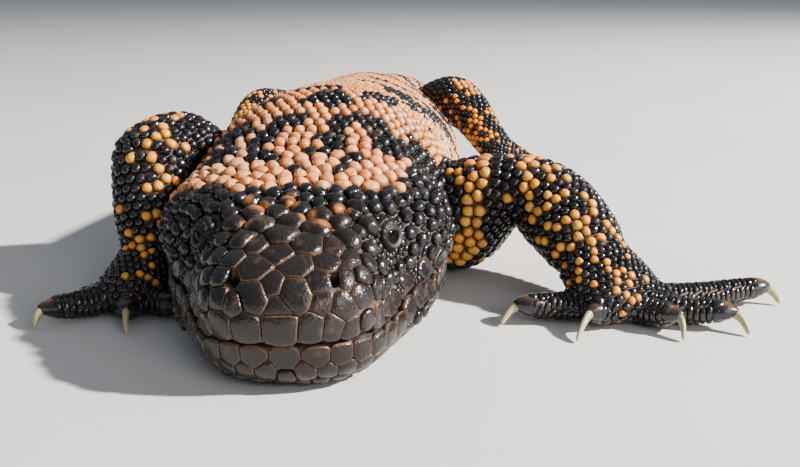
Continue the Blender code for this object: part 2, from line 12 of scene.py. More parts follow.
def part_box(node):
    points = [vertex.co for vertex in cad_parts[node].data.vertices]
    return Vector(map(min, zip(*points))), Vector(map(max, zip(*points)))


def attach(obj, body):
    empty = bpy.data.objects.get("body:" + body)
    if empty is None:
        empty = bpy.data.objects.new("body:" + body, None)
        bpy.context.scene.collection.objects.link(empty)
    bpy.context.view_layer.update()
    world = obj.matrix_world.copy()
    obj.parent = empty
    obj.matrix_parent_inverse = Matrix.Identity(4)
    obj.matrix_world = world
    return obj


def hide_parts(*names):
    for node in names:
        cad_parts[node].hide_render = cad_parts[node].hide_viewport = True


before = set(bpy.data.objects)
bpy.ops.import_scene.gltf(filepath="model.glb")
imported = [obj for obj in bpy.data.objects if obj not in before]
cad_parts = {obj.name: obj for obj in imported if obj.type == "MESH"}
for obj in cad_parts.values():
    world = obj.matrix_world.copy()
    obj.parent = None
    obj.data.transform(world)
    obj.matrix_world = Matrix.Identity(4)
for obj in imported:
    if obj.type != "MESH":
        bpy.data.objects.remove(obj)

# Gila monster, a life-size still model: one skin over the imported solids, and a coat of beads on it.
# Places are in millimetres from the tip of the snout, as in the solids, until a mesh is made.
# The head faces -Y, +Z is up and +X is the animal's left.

startTime = time.time()
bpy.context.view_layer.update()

# The solids' own measures, which place everything else. The spine is distance and x.
body = {
    "spine": ((0, -3.3), (52, -3.3), (78, -1.0), (110, 2.0), (156, 4.4), (190, 4.2), (225, 2.0), (262, 0.5),
              (290, 1.5), (320, 5.0), (350, 10.0), (380, 17.0), (412, 26.0)),
    # distance, half width, top, bottom, height of the widest place, squareness above and below it
    "head": ((0, 16.0, 23.5, 4.0, 13.5, 2.6, 2.2), (6, 16.6, 24.6, 3.5, 13.5, 2.6, 2.2),
             (12, 17.4, 26.5, 3.0, 14.0, 2.6, 2.2), (18, 18.6, 28.3, 2.0, 14.5, 2.5, 2.2),
             (24, 20.4, 29.8, 1.0, 15.5, 2.4, 2.2), (30, 25.0, 31.0, 0.0, 16.5, 2.3, 2.2),
             (36, 29.8, 32.2, -1.0, 17.5, 2.2, 2.2), (44, 32.4, 34.0, -1.0, 18.5, 2.2, 2.2),
             (54, 30.2, 37.6, -1.0, 19.0, 2.2, 2.6)),
    "jaw": ((0, 15.0, 17.0, -0.5, 7.0, 2.4, 2.4), (6, 16.6, 17.0, -0.5, 7.0, 2.4, 2.4),
            (12, 19.0, 17.0, -0.5, 7.0, 2.4, 2.4), (18, 21.8, 18.0, -0.5, 7.0, 2.4, 2.4),
            (24, 24.9, 19.0, -0.5, 7.5, 2.4, 2.4), (30, 27.8, 20.0, -0.5, 8.5, 2.4, 2.4),
            (36, 29.6, 22.0, -0.5, 9.0, 2.4, 2.3), (44, 30.9, 30.0, -0.5, 9.2, 2.3, 2.1),
            (54, 28.2, 37.6, -0.5, 9.2, 2.2, 1.84)),
    "trunk": ((54, 30.2, 37.6, -0.5, 19.0, 2.2, 2.6), (60, 30.4, 40.6, -0.5, 18.5, 2.15, 2.7),
              (66, 31.0, 43.0, -0.5, 18.5, 2.1, 2.8), (72, 31.6, 44.8, -0.5, 19.0, 2.05, 2.8),
              (80, 32.2, 45.6, -0.5, 19.0, 2.0, 2.8), (95, 32.8, 45.2, -0.5, 18.0, 1.95, 2.8),
              (115, 33.4, 43.8, -0.5, 16.0, 1.9, 2.8), (130, 33.0, 42.6, -0.5, 15.0, 1.8, 2.9),
              (156, 32.8, 41.3, -0.5, 14.0, 1.75, 3.0), (190, 32.0, 38.4, -0.5, 13.5, 1.75, 3.0),
              (220, 29.4, 34.6, -0.5, 13.5, 1.85, 2.8), (251, 26.5, 30.5, -0.5, 13.5, 2.0, 2.6),
              (270, 23.0, 27.5, -0.5, 13.0, 2.05, 2.5), (284, 20.0, 26.0, -0.4, 12.5, 2.1, 2.4),
              (320, 17.5, 24.5, -0.4, 12.0, 2.1, 2.3), (350, 16.0, 22.0, -0.4, 11.0, 2.1, 2.3),
              (380, 13.5, 18.0, -0.4, 9.0, 2.1, 2.3), (400, 10.5, 14.0, -0.4, 7.0, 2.1, 2.3),
              (412, 8.0, 11.0, -0.4, 5.6, 2.1, 2.3)),
    # distance and height of the line of the mouth
    "mouth": ((0, 9.7), (15, 9.6), (20, 10.5), (25, 11.6), (33, 12.3), (37, 12.9), (44, 13.3), (54, 13.3)),
    "snoutRounding": 11.0, "snoutHeight": 13.5,
    "chinStart": 1.2, "chinRounding": 10.0, "chinHeight": 7.0,
    "tailRounding": 10.0, "lipHeight": 5.5,
    "neckStart": 54.0, "overlap": 2.0, "end": 412.0,
    "bellyHeight": 0.45,   # the skin's lowest points under the belly and jaw
}

# share of its length, x, y, z, half width, half height
limbs = {
    "armLeft": ((0.00, 16.0, 82.0, 14.0, 13.0, 13.0), (0.22, 30.0, 72.5, 14.4, 12.0, 14.2),
                (0.38, 40.0, 68.0, 20.6, 10.2, 10.6), (0.50, 46.6, 66.0, 22.4, 9.6, 8.6),
                (0.60, 51.0, 63.8, 21.0, 9.8, 9.4), (0.70, 54.6, 60.5, 18.4, 10.2, 10.0),
                (0.85, 58.6, 52.5, 14.2, 9.8, 9.0), (1.00, 61.5, 45.5, 9.6, 9.4, 7.4)),
    "armRight": ((0.00, -18.0, 90.0, 16.0, 11.0, 11.0), (0.22, -28.5, 81.5, 22.0, 10.5, 9.0),
                 (0.42, -38.0, 74.0, 32.8, 10.4, 7.6), (0.58, -42.0, 64.8, 31.0, 9.8, 7.6),
                 (0.78, -41.6, 56.6, 18.8, 8.4, 7.6), (0.90, -41.0, 53.4, 12.5, 7.3, 7.4),
                 (1.00, -41.4, 50.2, 9.0, 7.0, 6.6)),
    "legLeft": ((0.00, 11.0, 256.0, 13.0, 12.0, 11.0), (0.25, 24.0, 240.0, 15.4, 10.4, 9.6),
                (0.48, 39.0, 219.0, 24.0, 10.6, 10.0), (0.60, 44.5, 210.0, 21.4, 9.0, 8.8),
                (0.82, 51.5, 196.0, 13.0, 7.0, 7.0), (1.00, 56.0, 187.5, 8.0, 7.4, 6.2)),
    "legRight": ((0.00, -11.0, 256.0, 12.0, 12.0, 11.0), (0.25, -25.0, 241.0, 13.6, 10.4, 9.6),
                 (0.50, -40.0, 223.0, 18.8, 10.4, 9.8), (0.62, -43.4, 212.0, 16.4, 8.6, 8.4),
                 (0.82, -46.0, 200.0, 11.0, 7.2, 7.0), (1.00, -48.0, 190.5, 8.0, 7.4, 6.2)),
    "turnSpan": 0.06, "innerReach": 0.5,
}

# x, y, z, half width and half height from wrist or ankle to knuckles, then for each toe
# the place of its tip and the x and y of its claw's point
feet = {
    "armLeft": {
        "pad": ((61.8, 44.9, 9.2, 9.3, 7.2), (64.4, 40.5, 6.6, 10.5, 6.4), (67.0, 36.0, 4.4, 9.0, 4.6)),
        "toes": ((43.0, 36.0, 4.2, 38.8, 33.6), (57.4, 31.0, 4.6, 53.2, 24.8), (75.0, 30.0, 4.3, 75.2, 25.4),
                 (87.2, 32.0, 4.2, 89.9, 28.2), (100.4, 47.5, 4.2, 104.0, 46.0)),
    },
    "armRight": {
        "pad": ((-41.5, 49.8, 8.6, 7.0, 6.4), (-42.8, 45.6, 6.2, 7.6, 5.6), (-44.4, 41.4, 4.6, 7.2, 4.6)),
        "toes": ((-32.4, 37.2, 3.4, -30.6, 34.0), (-41.4, 33.2, 4.4, -40.3, 28.8),
                 (-59.3, 34.5, 4.0, -60.4, 31.2), (-55.4, 41.0, 3.6, -59.0, 40.2),
                 (-47.5, 54.0, 3.6, -48.8, 57.8)),
    },
    "legLeft": {
        "pad": ((56.4, 186.8, 7.7, 7.3, 6.0), (60.0, 179.0, 5.4, 9.6, 5.2), (63.0, 172.0, 4.0, 8.8, 4.2)),
        "toes": ((51.0, 163.0, 3.8, 49.4, 159.2), (57.5, 154.5, 4.0, 57.0, 150.2),
                 (66.0, 150.5, 4.2, 67.0, 146.2), (73.5, 154.0, 4.2, 76.0, 150.4),
                 (76.5, 165.5, 4.0, 80.4, 163.6)),
    },
    "padOverlap": 0.5, "padFront": 0.55, "padFrontSize": (3.0, 3.6, 2.6),
    "rootRadius": 3.7, "tipRadius": 2.9, "middleHeight": 3.3, "rootHeight": 4.4,
    "toeStations": (0.55, 0.82, 0.94),
    "setBack": 0.35, "endRadius": 1.5,
    "mirrorX": 4.0, "mirrorSetBack": 3.0,   # the right hind foot mirrors the left one about this x
}

# points round and rings along each kind of length
chartGrid = {
    "bodySides": 96, "limbSides": 48, "padSides": 40, "toeSides": 24,
    "noseRings": 14, "headRings": 30, "jawRings": 26, "tailRings": 10, "limbRings": 40, "padRings": 16,
    "trunkStep": 2.0,
}

skin = {
    "depth": 0.7,          # how far the skin lies inside the solids
    "toeDepth": 0.4,
    "voxel": 1.3, "fineEnd": 57.0,   # the head is one subdivision finer, up to this distance
    "smoothing": 6,
    "jointSmoothing": 40, "jointReach": 9.0,   # evens out the steps at the wrists and ankles
    "groove": (0.14, 0.32),   # how far the hide lies below the beads' rims, on the face and behind it
    "mouthDepth": 1.5, "mouthWidth": 0.55, "mouthEnd": 47.0,
    "browPlace": (15.0, 23.5, 28.0), "browSpread": 4.5, "browRise": 1.1,
    "eyePlace": (16.5, 24.0, 23.3), "eyeAxis": (0.80, -0.57, 0.165),
    "socketDepth": 3.0, "socketWidth": 2.9,
    "nostrilPlace": (9.0, 5.0, 21.2), "nostrilDepth": 2.6, "nostrilWidth": (1.0, 2.0, 1.3),
    "earAt": (47.0, 20.0), "earDepth": 1.6, "earWidth": (4.0, 1.0, 2.4),
}


def readTable(table, at):
    # A cubic between two stations whose slopes are the harmonic mean of the rises beside them.
    table = np.asarray(table, float)
    knots, values = table[:, 0], table[:, 1:]
    spans = np.diff(knots)
    rise = np.diff(values, axis=0) / spans[:, None]
    product = rise[:-1] * rise[1:]
    total = np.where(product > 0, rise[:-1] + rise[1:], 1)
    slope = np.vstack([rise[:1], np.where(product > 0, 2 * product / total, 0), rise[-1:]])
    at = np.clip(np.atleast_1d(np.asarray(at, float)), knots[0], knots[-1])
    i = np.clip(np.searchsorted(knots, at, side="right") - 1, 0, len(spans) - 1)
    span = spans[i][:, None]
    t = (at[:, None] - knots[i][:, None]) / span
    start = values[i] * (1 + 2 * t) * (1 - t) ** 2 + slope[i] * span * t * (1 - t) ** 2
    return start + values[i + 1] * t**2 * (3 - 2 * t) + slope[i + 1] * span * t**2 * (t - 1)


def unit(vectors):
    return vectors / np.maximum(np.linalg.norm(vectors, axis=-1, keepdims=True), 1e-9)


def bluntShare(distance, length, power=2.4):
    # (1 - (1 - s)^p)^(1/p) for the share s of a length, as the profile of a blunt nose
    share = np.clip(distance / length, 0, 1)
    return (1 - (1 - share) ** power) ** (1 / power)


def spineAt(distance):
    return readTable(body["spine"], distance)[:, 0]


def mouthAt(distance):
    return readTable(body["mouth"], distance)[:, 0]


def bodyRings(table, stations, sides, grow):
    # x = spine + width * sin^(2/p), z = widest + reach * cos^(2/p), a superellipse with unlike halves
    width, top, bottom, widest, above, below = readTable(table, stations).T[:, :, None]
    angle = np.linspace(0, 2 * np.pi, sides, endpoint=False)[None, :]
    across, upward = np.sin(angle), np.cos(angle)
    power = 2 / np.where(upward >= 0, above, below)
    reach = np.where(upward >= 0, top - widest, widest - bottom) + grow
    x = spineAt(stations)[:, None] + (width + grow) * np.sign(across) * np.abs(across) ** power
    z = widest + reach * np.sign(upward) * np.abs(upward) ** power
    return np.stack([x, np.broadcast_to(stations[:, None], x.shape), z], axis=2)


def roundOff(rings, share, height):
    # draws each ring in towards the spine and a height by its share
    rings = rings.copy()
    middle = spineAt(rings[:, 0, 1])[:, None]
    rings[:, :, 0] = middle + (rings[:, :, 0] - middle) * share[:, None]
    rings[:, :, 2] = height + (rings[:, :, 2] - height) * share[:, None]
    return rings


def noseStations(start, length, end, front, back):
    turn = np.linspace(0.05, np.pi / 2, front)
    even = np.linspace(start + length, end, back + 1)[1:]
    return np.concatenate([start + length * (1 - np.cos(turn)), even])


def swollen(points, place, spread, rise):
    # adds rise * exp(-d^2 / 2 spread^2) upward, and half of it outward, round a place on each side
    points = points.copy()
    for side in (-1, 1):
        middle = np.array([spineAt(place[1])[0] + side * place[0], place[1], place[2]])
        near = np.exp(-((points - middle) ** 2).sum(axis=-1) / (2 * spread**2))
        points[..., 2] += rise * near
        points[..., 0] += side * 0.5 * rise * near
    return points


def limbDirection(path, shares):
    span = limbs["turnSpan"]
    way = readTable(path, shares + span)[:, :3] - readTable(path, shares - span)[:, :3]
    length = np.linalg.norm(way, axis=1)[:, None]
    return way / length, length


def limbRings(path, shares, sides, grow):
    # centre + side * halfWidth * cos + up * halfHeight * sin, held short of the centre of a bend
    table = readTable(path, shares)
    ahead, length = limbDirection(path, shares)
    side = unit(np.cross(ahead, [0, 0, 1]))
    up = np.cross(side, ahead)
    angle = np.linspace(0, 2 * np.pi, sides, endpoint=False)
    offsets = (side[:, None] * (table[:, None, 3:4] + grow) * np.cos(angle)[None, :, None]
               + up[:, None] * (table[:, None, 4:5] + grow) * np.sin(angle)[None, :, None])
    span = limbs["turnSpan"]
    before = limbDirection(path, np.clip(shares - span, 0, 1))[0]
    after = limbDirection(path, np.clip(shares + span, 0, 1))[0]
    bend = (after - before) / length
    tightness = np.maximum((bend**2).sum(axis=1), 1e-9)[:, None]
    excess = np.maximum((offsets * bend[:, None]).sum(axis=2) - limbs["innerReach"], 0) / tightness
    rings = table[:, None, :3] + offsets - excess[:, :, None] * bend[:, None]
    rings[:, :, 2] = np.maximum(rings[:, :, 2], -grow * 0.6)
    return rings


def padPath(pad):
    ends = np.array(pad, float)
    start, finish = ends[0].copy(), ends[2].copy()
    start[:3] -= (ends[1, :3] - ends[0, :3]) * feet["padOverlap"]
    finish[:3] += (ends[2, :3] - ends[1, :3]) * feet["padFront"]
    finish[2:] = feet["padFrontSize"]
    rows = np.vstack([start, ends, finish])
    return np.column_stack([np.linspace(0, 1, len(rows)), rows])


def toePath(tip, pad):
    tip = np.array(tip, float)
    knuckle, front = np.array(pad[1][:3]), np.array(pad[2][:3])
    root = knuckle + (front - knuckle) * feet["setBack"]
    root[2] = feet["rootHeight"]
    first, second, third = feet["toeStations"]
    middle = root + (tip - root) * first
    middle[2] = feet["middleHeight"]
    near = root + (tip - root) * second
    near[2] = 0.5 * (tip[2] + feet["middleHeight"])
    late = near + (tip - near) * 0.67
    r = feet["tipRadius"]
    return np.array([(0.0, *root, feet["rootRadius"], feet["rootRadius"]), (first, *middle, r + 0.5, r + 0.5),
                     (second, *near, r, r), (third, *late, r - 0.3, r - 0.3),
                     (1.0, *tip, feet["endRadius"], feet["endRadius"])])


def rightHindFoot():
    left = feet["legLeft"]
    pad, toes = np.array(left["pad"]), np.array(left["toes"])
    for rows, xs, ys in ((pad, [0], [1]), (toes, [0, 3], [1, 4])):
        rows[:, xs] = 2 * feet["mirrorX"] - rows[:, xs]
        rows[:, ys] += feet["mirrorSetBack"]
    return {"pad": pad.tolist(), "toes": toes.tolist()}


feet["legRight"] = rightHindFoot()
limbNames = ("armLeft", "armRight", "legLeft", "legRight")


def eyeFrame(side):
    # an eye's centre, the way it looks, and the directions across and up its opening
    away, y, z = skin["eyePlace"]
    ahead, *rest = skin["eyeAxis"]
    place = np.array([spineAt(y)[0] + side * away, y, z])
    axis = unit(np.array([side * ahead, *rest]))
    across = unit(np.cross([0, 0, 1.0], axis)) * side
    return place, axis, across, np.cross(axis, across) * side


eyeLow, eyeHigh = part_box("eye_left")
# from the snout's frame to the row's, in mm: the middle of the eye's box less the eye's own place
shift = (np.array(eyeLow) + np.array(eyeHigh)) * 500 - eyeFrame(1)[0]


def capital(name):
    return name[0].upper() + name[1:]


def meshFrom(name, points, loops, starts, smooth=True):
    # points in mm from the snout; loops is the run of corner indices and starts where each face begins
    mesh = bpy.data.meshes.new(name)
    mesh.vertices.add(len(points))
    mesh.vertices.foreach_set("co", ((points + shift) * 0.001).astype(np.float32).ravel())
    mesh.loops.add(len(loops))
    mesh.loops.foreach_set("vertex_index", np.asarray(loops, np.int32))
    mesh.polygons.add(len(starts))
    mesh.polygons.foreach_set("loop_start", np.asarray(starts, np.int32))
    mesh.polygons.foreach_set("use_smooth", np.full(len(starts), smooth))
    mesh.update(calc_edges=True)
    mesh.validate()
    return mesh


def addObject(name, mesh, material):
    obj = bpy.data.objects.new(name, mesh)
    bpy.context.scene.collection.objects.link(obj)
    mesh.materials.append(material)
    return obj


def addPiece(name, mesh, material):
    # a visible piece: it rides on the one body and takes the material it is given
    obj = addObject(name, mesh, material)
    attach(obj, "root")
    return obj


def paint(mesh, name, colour):
    # a colour for each point, and its roughness where there is a fourth column
    full = np.ones((len(mesh.vertices), 4), np.float32)
    full[:, :colour.shape[1]] = colour
    mesh.color_attributes.new(name, "FLOAT_COLOR", "POINT").data.foreach_set("color", full.ravel())


def gridLoops(rows, columns, wrap=True):
    # corners of the quads of a grid of points, numbered row by row
    here = np.arange(columns if wrap else columns - 1)
    after = (here + 1) % columns
    base = (np.arange(rows - 1) * columns)[:, None]
    quads = np.stack([base + here, base + after, base + columns + after, base + columns + here], axis=2)
    return quads.reshape(-1, 4)


def closedLoft(rings):
    # a grid of quads through the rings, and a fan of triangles over each end
    count, sides = rings.shape[:2]
    points = np.vstack([rings.reshape(-1, 3), rings[[0, -1]].mean(axis=1)])
    quads = gridLoops(count, sides)
    here = np.arange(sides)
    after = (here + 1) % sides
    last = (count - 1) * sides
    ends = np.vstack([np.stack([here, np.full(sides, count * sides), after], axis=1),
                      np.stack([last + after, np.full(sides, count * sides + 1), last + here], axis=1)])
    return points, quads, ends


# The chart: every length of the body as dense rings, which says where on the animal a point lies.
chart = []


def addToChart(name, piece, rings, along):
    chart.append({"name": name, "piece": piece, "rings": rings, "a": np.asarray(along, float)})


def skullRings(stations):
    # squared rings rounded off at the snout, with brows, and an upper lip that leans out over the
    # jaw by (jaw's reach - own reach) * (1 - height / lipHeight)
    depth = -skin["depth"]
    share = bluntShare(stations, body["snoutRounding"])
    rings = bodyRings(body["head"], stations, chartGrid["bodySides"], depth)
    rings = roundOff(rings, share, body["snoutHeight"])
    rings = swollen(rings, skin["browPlace"], skin["browSpread"], skin["browRise"])
    rings[:, :, 1] += -depth * (1 - share[:, None])
    mouth = readTable(body["mouth"], stations)
    width, top, _, widest, above, _ = readTable(body["jaw"], stations).T
    jawReach = width * (1 - ((mouth[:, 0] - widest) / (top - widest)) ** above) ** (1 / above) + depth
    jawReach = (jawReach * np.clip((stations - 8) / 8, 0, 1))[:, None]
    out = rings[:, :, 0] - spineAt(stations)[:, None]
    height = (rings[:, :, 2] - mouth) / body["lipHeight"]
    lean = np.maximum(jawReach - np.abs(out), 0) * np.clip(1 - height, 0, 1) * (height > -0.3)
    rings[:, :, 0] += np.sign(out) * np.where(np.abs(out) > 4, lean, 0)
    rings[:, :, 2] = np.maximum(rings[:, :, 2], mouth - 0.5)
    return rings


def jawRings(stations):
    # squared rings rounded off at the chin and cut level with the mouth
    depth = -skin["depth"]
    share = bluntShare(stations - body["chinStart"], body["chinRounding"])
    rings = bodyRings(body["jaw"], stations, chartGrid["bodySides"], depth)
    rings = roundOff(rings, share, body["chinHeight"])
    rings[:, :, 1] += -depth * (1 - share[:, None])
    rings[:, :, 2] = np.clip(rings[:, :, 2], body["bellyHeight"], readTable(body["mouth"], stations) + 0.5)
    return rings


def trunkRings(stations):
    # squared rings from the neck to the tail's tip, which draws in and down by the blunt share
    depth = -skin["depth"]
    share = bluntShare(body["end"] - stations, body["tailRounding"], 2.0)[:, None]
    rings = bodyRings(body["trunk"], stations, chartGrid["bodySides"], depth)
    middle = spineAt(stations)[:, None]
    rings[:, :, 0] = middle + (rings[:, :, 0] - middle) * share
    rings[:, :, 2] *= 0.25 + 0.75 * share
    rings[:, :, 1] += depth * (1 - share)
    rings[:, :, 2] = np.maximum(rings[:, :, 2], body["bellyHeight"])
    return rings


def buildChart():
    neck, end, nose = body["neckStart"], body["end"], chartGrid["noseRings"]
    behind = neck + body["overlap"]
    stations = noseStations(0, body["snoutRounding"], behind, nose, chartGrid["headRings"])
    addToChart("head", "head", skullRings(stations), stations)
    stations = noseStations(body["chinStart"], body["chinRounding"], behind, nose, chartGrid["jawRings"])
    addToChart("jaw", "head", jawRings(stations), stations)
    tip = noseStations(0, body["tailRounding"], 12, chartGrid["tailRings"], 1)
    evenly = np.arange(neck - body["overlap"], end - 12, chartGrid["trunkStep"])
    stations = np.concatenate([evenly, end - tip[::-1]])
    addToChart("trunk", "trunk", trunkRings(stations), stations)
    for name in limbNames:
        shares = np.linspace(0, 1, chartGrid["limbRings"])
        rings = limbRings(limbs[name], shares, chartGrid["limbSides"], -skin["depth"])
        # the last rings draw in, so that the limb's end tucks into the hand or foot
        draw = 1 - 0.5 * (np.clip((shares - 0.88) / 0.12, 0, 1) ** 2)[:, None, None]
        middle = rings.mean(axis=1, keepdims=True)
        addToChart("limb", name, middle + (rings - middle) * draw, shares)
        shares = np.linspace(0, 1, chartGrid["padRings"])
        rings = limbRings(padPath(feet[name]["pad"]), shares, chartGrid["padSides"], -skin["toeDepth"])
        addToChart("pad", name, rings, shares)
        shares = np.concatenate([np.linspace(0, 0.9, 16), [0.93, 0.96, 0.98, 1.0]])
        for number, place in enumerate(feet[name]["toes"]):
            path = toePath(place[:3], feet[name]["pad"])
            rings = limbRings(path, shares, chartGrid["toeSides"], -skin["toeDepth"])
            addToChart(f"toe{number}", name, rings, shares)


buildChart()
chartNames = np.array([length["name"] for length in chart])
chartPieces = np.array([length["piece"] for length in chart])
print("chart", len(chart), "lengths")


def chartTree():
    # all points of the chart with their length, share along it and share round it
    points, part, a, b, along = [], [], [], [], []
    for index, length in enumerate(chart):
        rings = length["rings"]
        count, sides = rings.shape[:2]
        centre = rings.mean(axis=1)
        way = unit(np.gradient(centre, axis=0))
        points.append(rings.reshape(-1, 3))
        part.append(np.full(count * sides, index))
        a.append(np.repeat(length["a"], sides))
        b.append(np.tile(np.arange(sides) / sides, count))
        along.append(np.repeat(way, sides, axis=0))
    points = np.vstack(points)
    tree = KDTree(len(points))
    for i, place in enumerate(points):
        tree.insert(place, i)
    tree.balance()
    return tree, np.concatenate(part), np.concatenate(a), np.concatenate(b), np.vstack(along)


tree, chartPart, chartA, chartB, chartAlong = chartTree()


def whereOn(points):
    found = np.array([tree.find(p)[1] for p in points])
    return chartPart[found], chartA[found], chartB[found], chartAlong[found]


def buildSkin():
    # joins all lengths in one shell by a voxel remesh, then evens it out with Taubin smoothing
    points, faces, base = [], [], 0
    for length in chart:
        shell, quads, ends = closedLoft(length["rings"])
        points.append(shell)
        faces += (quads + base).tolist() + (ends + base).tolist()
        base += len(shell)
    mesh = bpy.data.meshes.new("shells")
    mesh.from_pydata(np.vstack(points).tolist(), [], faces)
    work = bpy.data.objects.new("shells", mesh)
    bpy.context.scene.collection.objects.link(work)
    remesh = work.modifiers.new("Remesh", "REMESH")
    remesh.mode = "VOXEL"
    remesh.voxel_size = skin["voxel"]
    graph = bpy.context.evaluated_depsgraph_get()
    made = bpy.data.meshes.new_from_object(work.evaluated_get(graph))
    bpy.data.objects.remove(work)
    shape = bmesh.new()
    shape.from_mesh(made)
    head = [f for f in shape.faces if f.calc_center_median().y < skin["fineEnd"]]
    edges = list({e for f in head for e in f.edges})
    bmesh.ops.subdivide_edges(shape, edges=edges, cuts=1, use_grid_fill=True)
    bmesh.ops.recalc_face_normals(shape, faces=shape.faces[:])
    shape.to_mesh(made)
    shape.free()
    points = np.zeros(len(made.vertices) * 3, np.float32)
    made.vertices.foreach_get("co", points)
    points = points.reshape(-1, 3).astype(float)
    edges = np.zeros(len(made.edges) * 2, np.int32)
    made.edges.foreach_get("vertices", edges)
    edges = edges.reshape(-1, 2)
    points = smoothed(points, edges, skin["smoothing"])
    wrists = np.array([limbs[name][-1][1:4] for name in limbNames])
    away = np.linalg.norm(points[:, None] - wrists[None], axis=2).min(axis=1)
    share = np.clip((skin["jointReach"] + 3 - away) / 3, 0, 1)[:, None]
    even = smoothed(points, edges, skin["jointSmoothing"], 0.5, -0.44)
    return made, points * (1 - share) + share * even


def smoothed(points, edges, rounds, inward=0.5, outward=-0.52):
    # moves each point by a share towards the mean of its neighbours, then by another back out
    count = np.maximum(np.bincount(edges.ravel(), minlength=len(points)), 1)[:, None]
    for _ in range(rounds):
        for share in (inward, outward):
            total = np.column_stack([
                np.bincount(edges[:, 0], points[edges[:, 1], k], len(points))
                + np.bincount(edges[:, 1], points[edges[:, 0], k], len(points)) for k in range(3)])
            points = points + share * (total / count - points)
    return points


def normalsOf(mesh, points):
    mesh.vertices.foreach_set("co", points.astype(np.float32).ravel())
    mesh.update()
    normals = np.zeros(len(points) * 3, np.float32)
    mesh.vertices.foreach_get("normal", normals)
    return normals.reshape(-1, 3).astype(float)


def onHead(at, side):
    # the place on the side of the head at a distance and a height
    width, top, _, widest, above, _ = readTable(body["head"], at[0])[0]
    share = np.clip((at[1] - widest) / (top - widest), 0, 1)
    reach = width * (1 - share**above) ** (1 / above) * bluntShare(at[0], body["snoutRounding"])
    return np.array([spineAt(at[0])[0] + side * reach, at[0], at[1]])


def nostrilPlace(side):
    away, y, z = skin["nostrilPlace"]
    return np.array([spineAt(y)[0] + side * away, y, z])


def carved(points, normals):
    # pushes the skin in along the mouth, round the eyes, and at the nostrils and ears
    x, y, z = points.T
    fade = np.clip((skin["mouthEnd"] - y) / 4, 0, 1)
    depth = skin["mouthDepth"] * fade * np.exp(-((z - mouthAt(y)) / skin["mouthWidth"]) ** 2)
    for side in (-1, 1):
        eye, axis, _, _ = eyeFrame(side)
        away = points - eye
        out = away @ axis
        off = np.sqrt(np.maximum((away**2).sum(axis=1) - out**2, 0))
        socket = np.exp(-((off / skin["socketWidth"]) ** 4)) * (out > 0) * (out < 8)
        depth = depth + skin["socketDepth"] * socket
        away = (points - nostrilPlace(side)) / skin["nostrilWidth"]
        depth = depth + skin["nostrilDepth"] * np.exp(-((away**2).sum(axis=1) ** 2))
        away = (points - onHead(skin["earAt"], side)) / skin["earWidth"]
        depth = depth + skin["earDepth"] * np.exp(-(away**2).sum(axis=1))
    return points - normals * depth[:, None]


skinMesh, formPoints = buildSkin()
formNormals = normalsOf(skinMesh, formPoints)
skinFaces = [list(p.vertices) for p in skinMesh.polygons]
formTree = BVHTree.FromPolygons(formPoints.tolist(), skinFaces)   # the even form that the beads sit on
groove = np.interp(formPoints[:, 1], (40, 50), skin["groove"])
skinPoints = carved(formPoints, formNormals) - groove[:, None] * formNormals
skinPoints[:, 2] = np.maximum(skinPoints[:, 2], 0.25)
triangles = sum(len(f) - 2 for f in skinFaces)
print(f"skin {len(skinPoints)} points, {triangles} triangles, {time.time() - startTime:.1f} s")

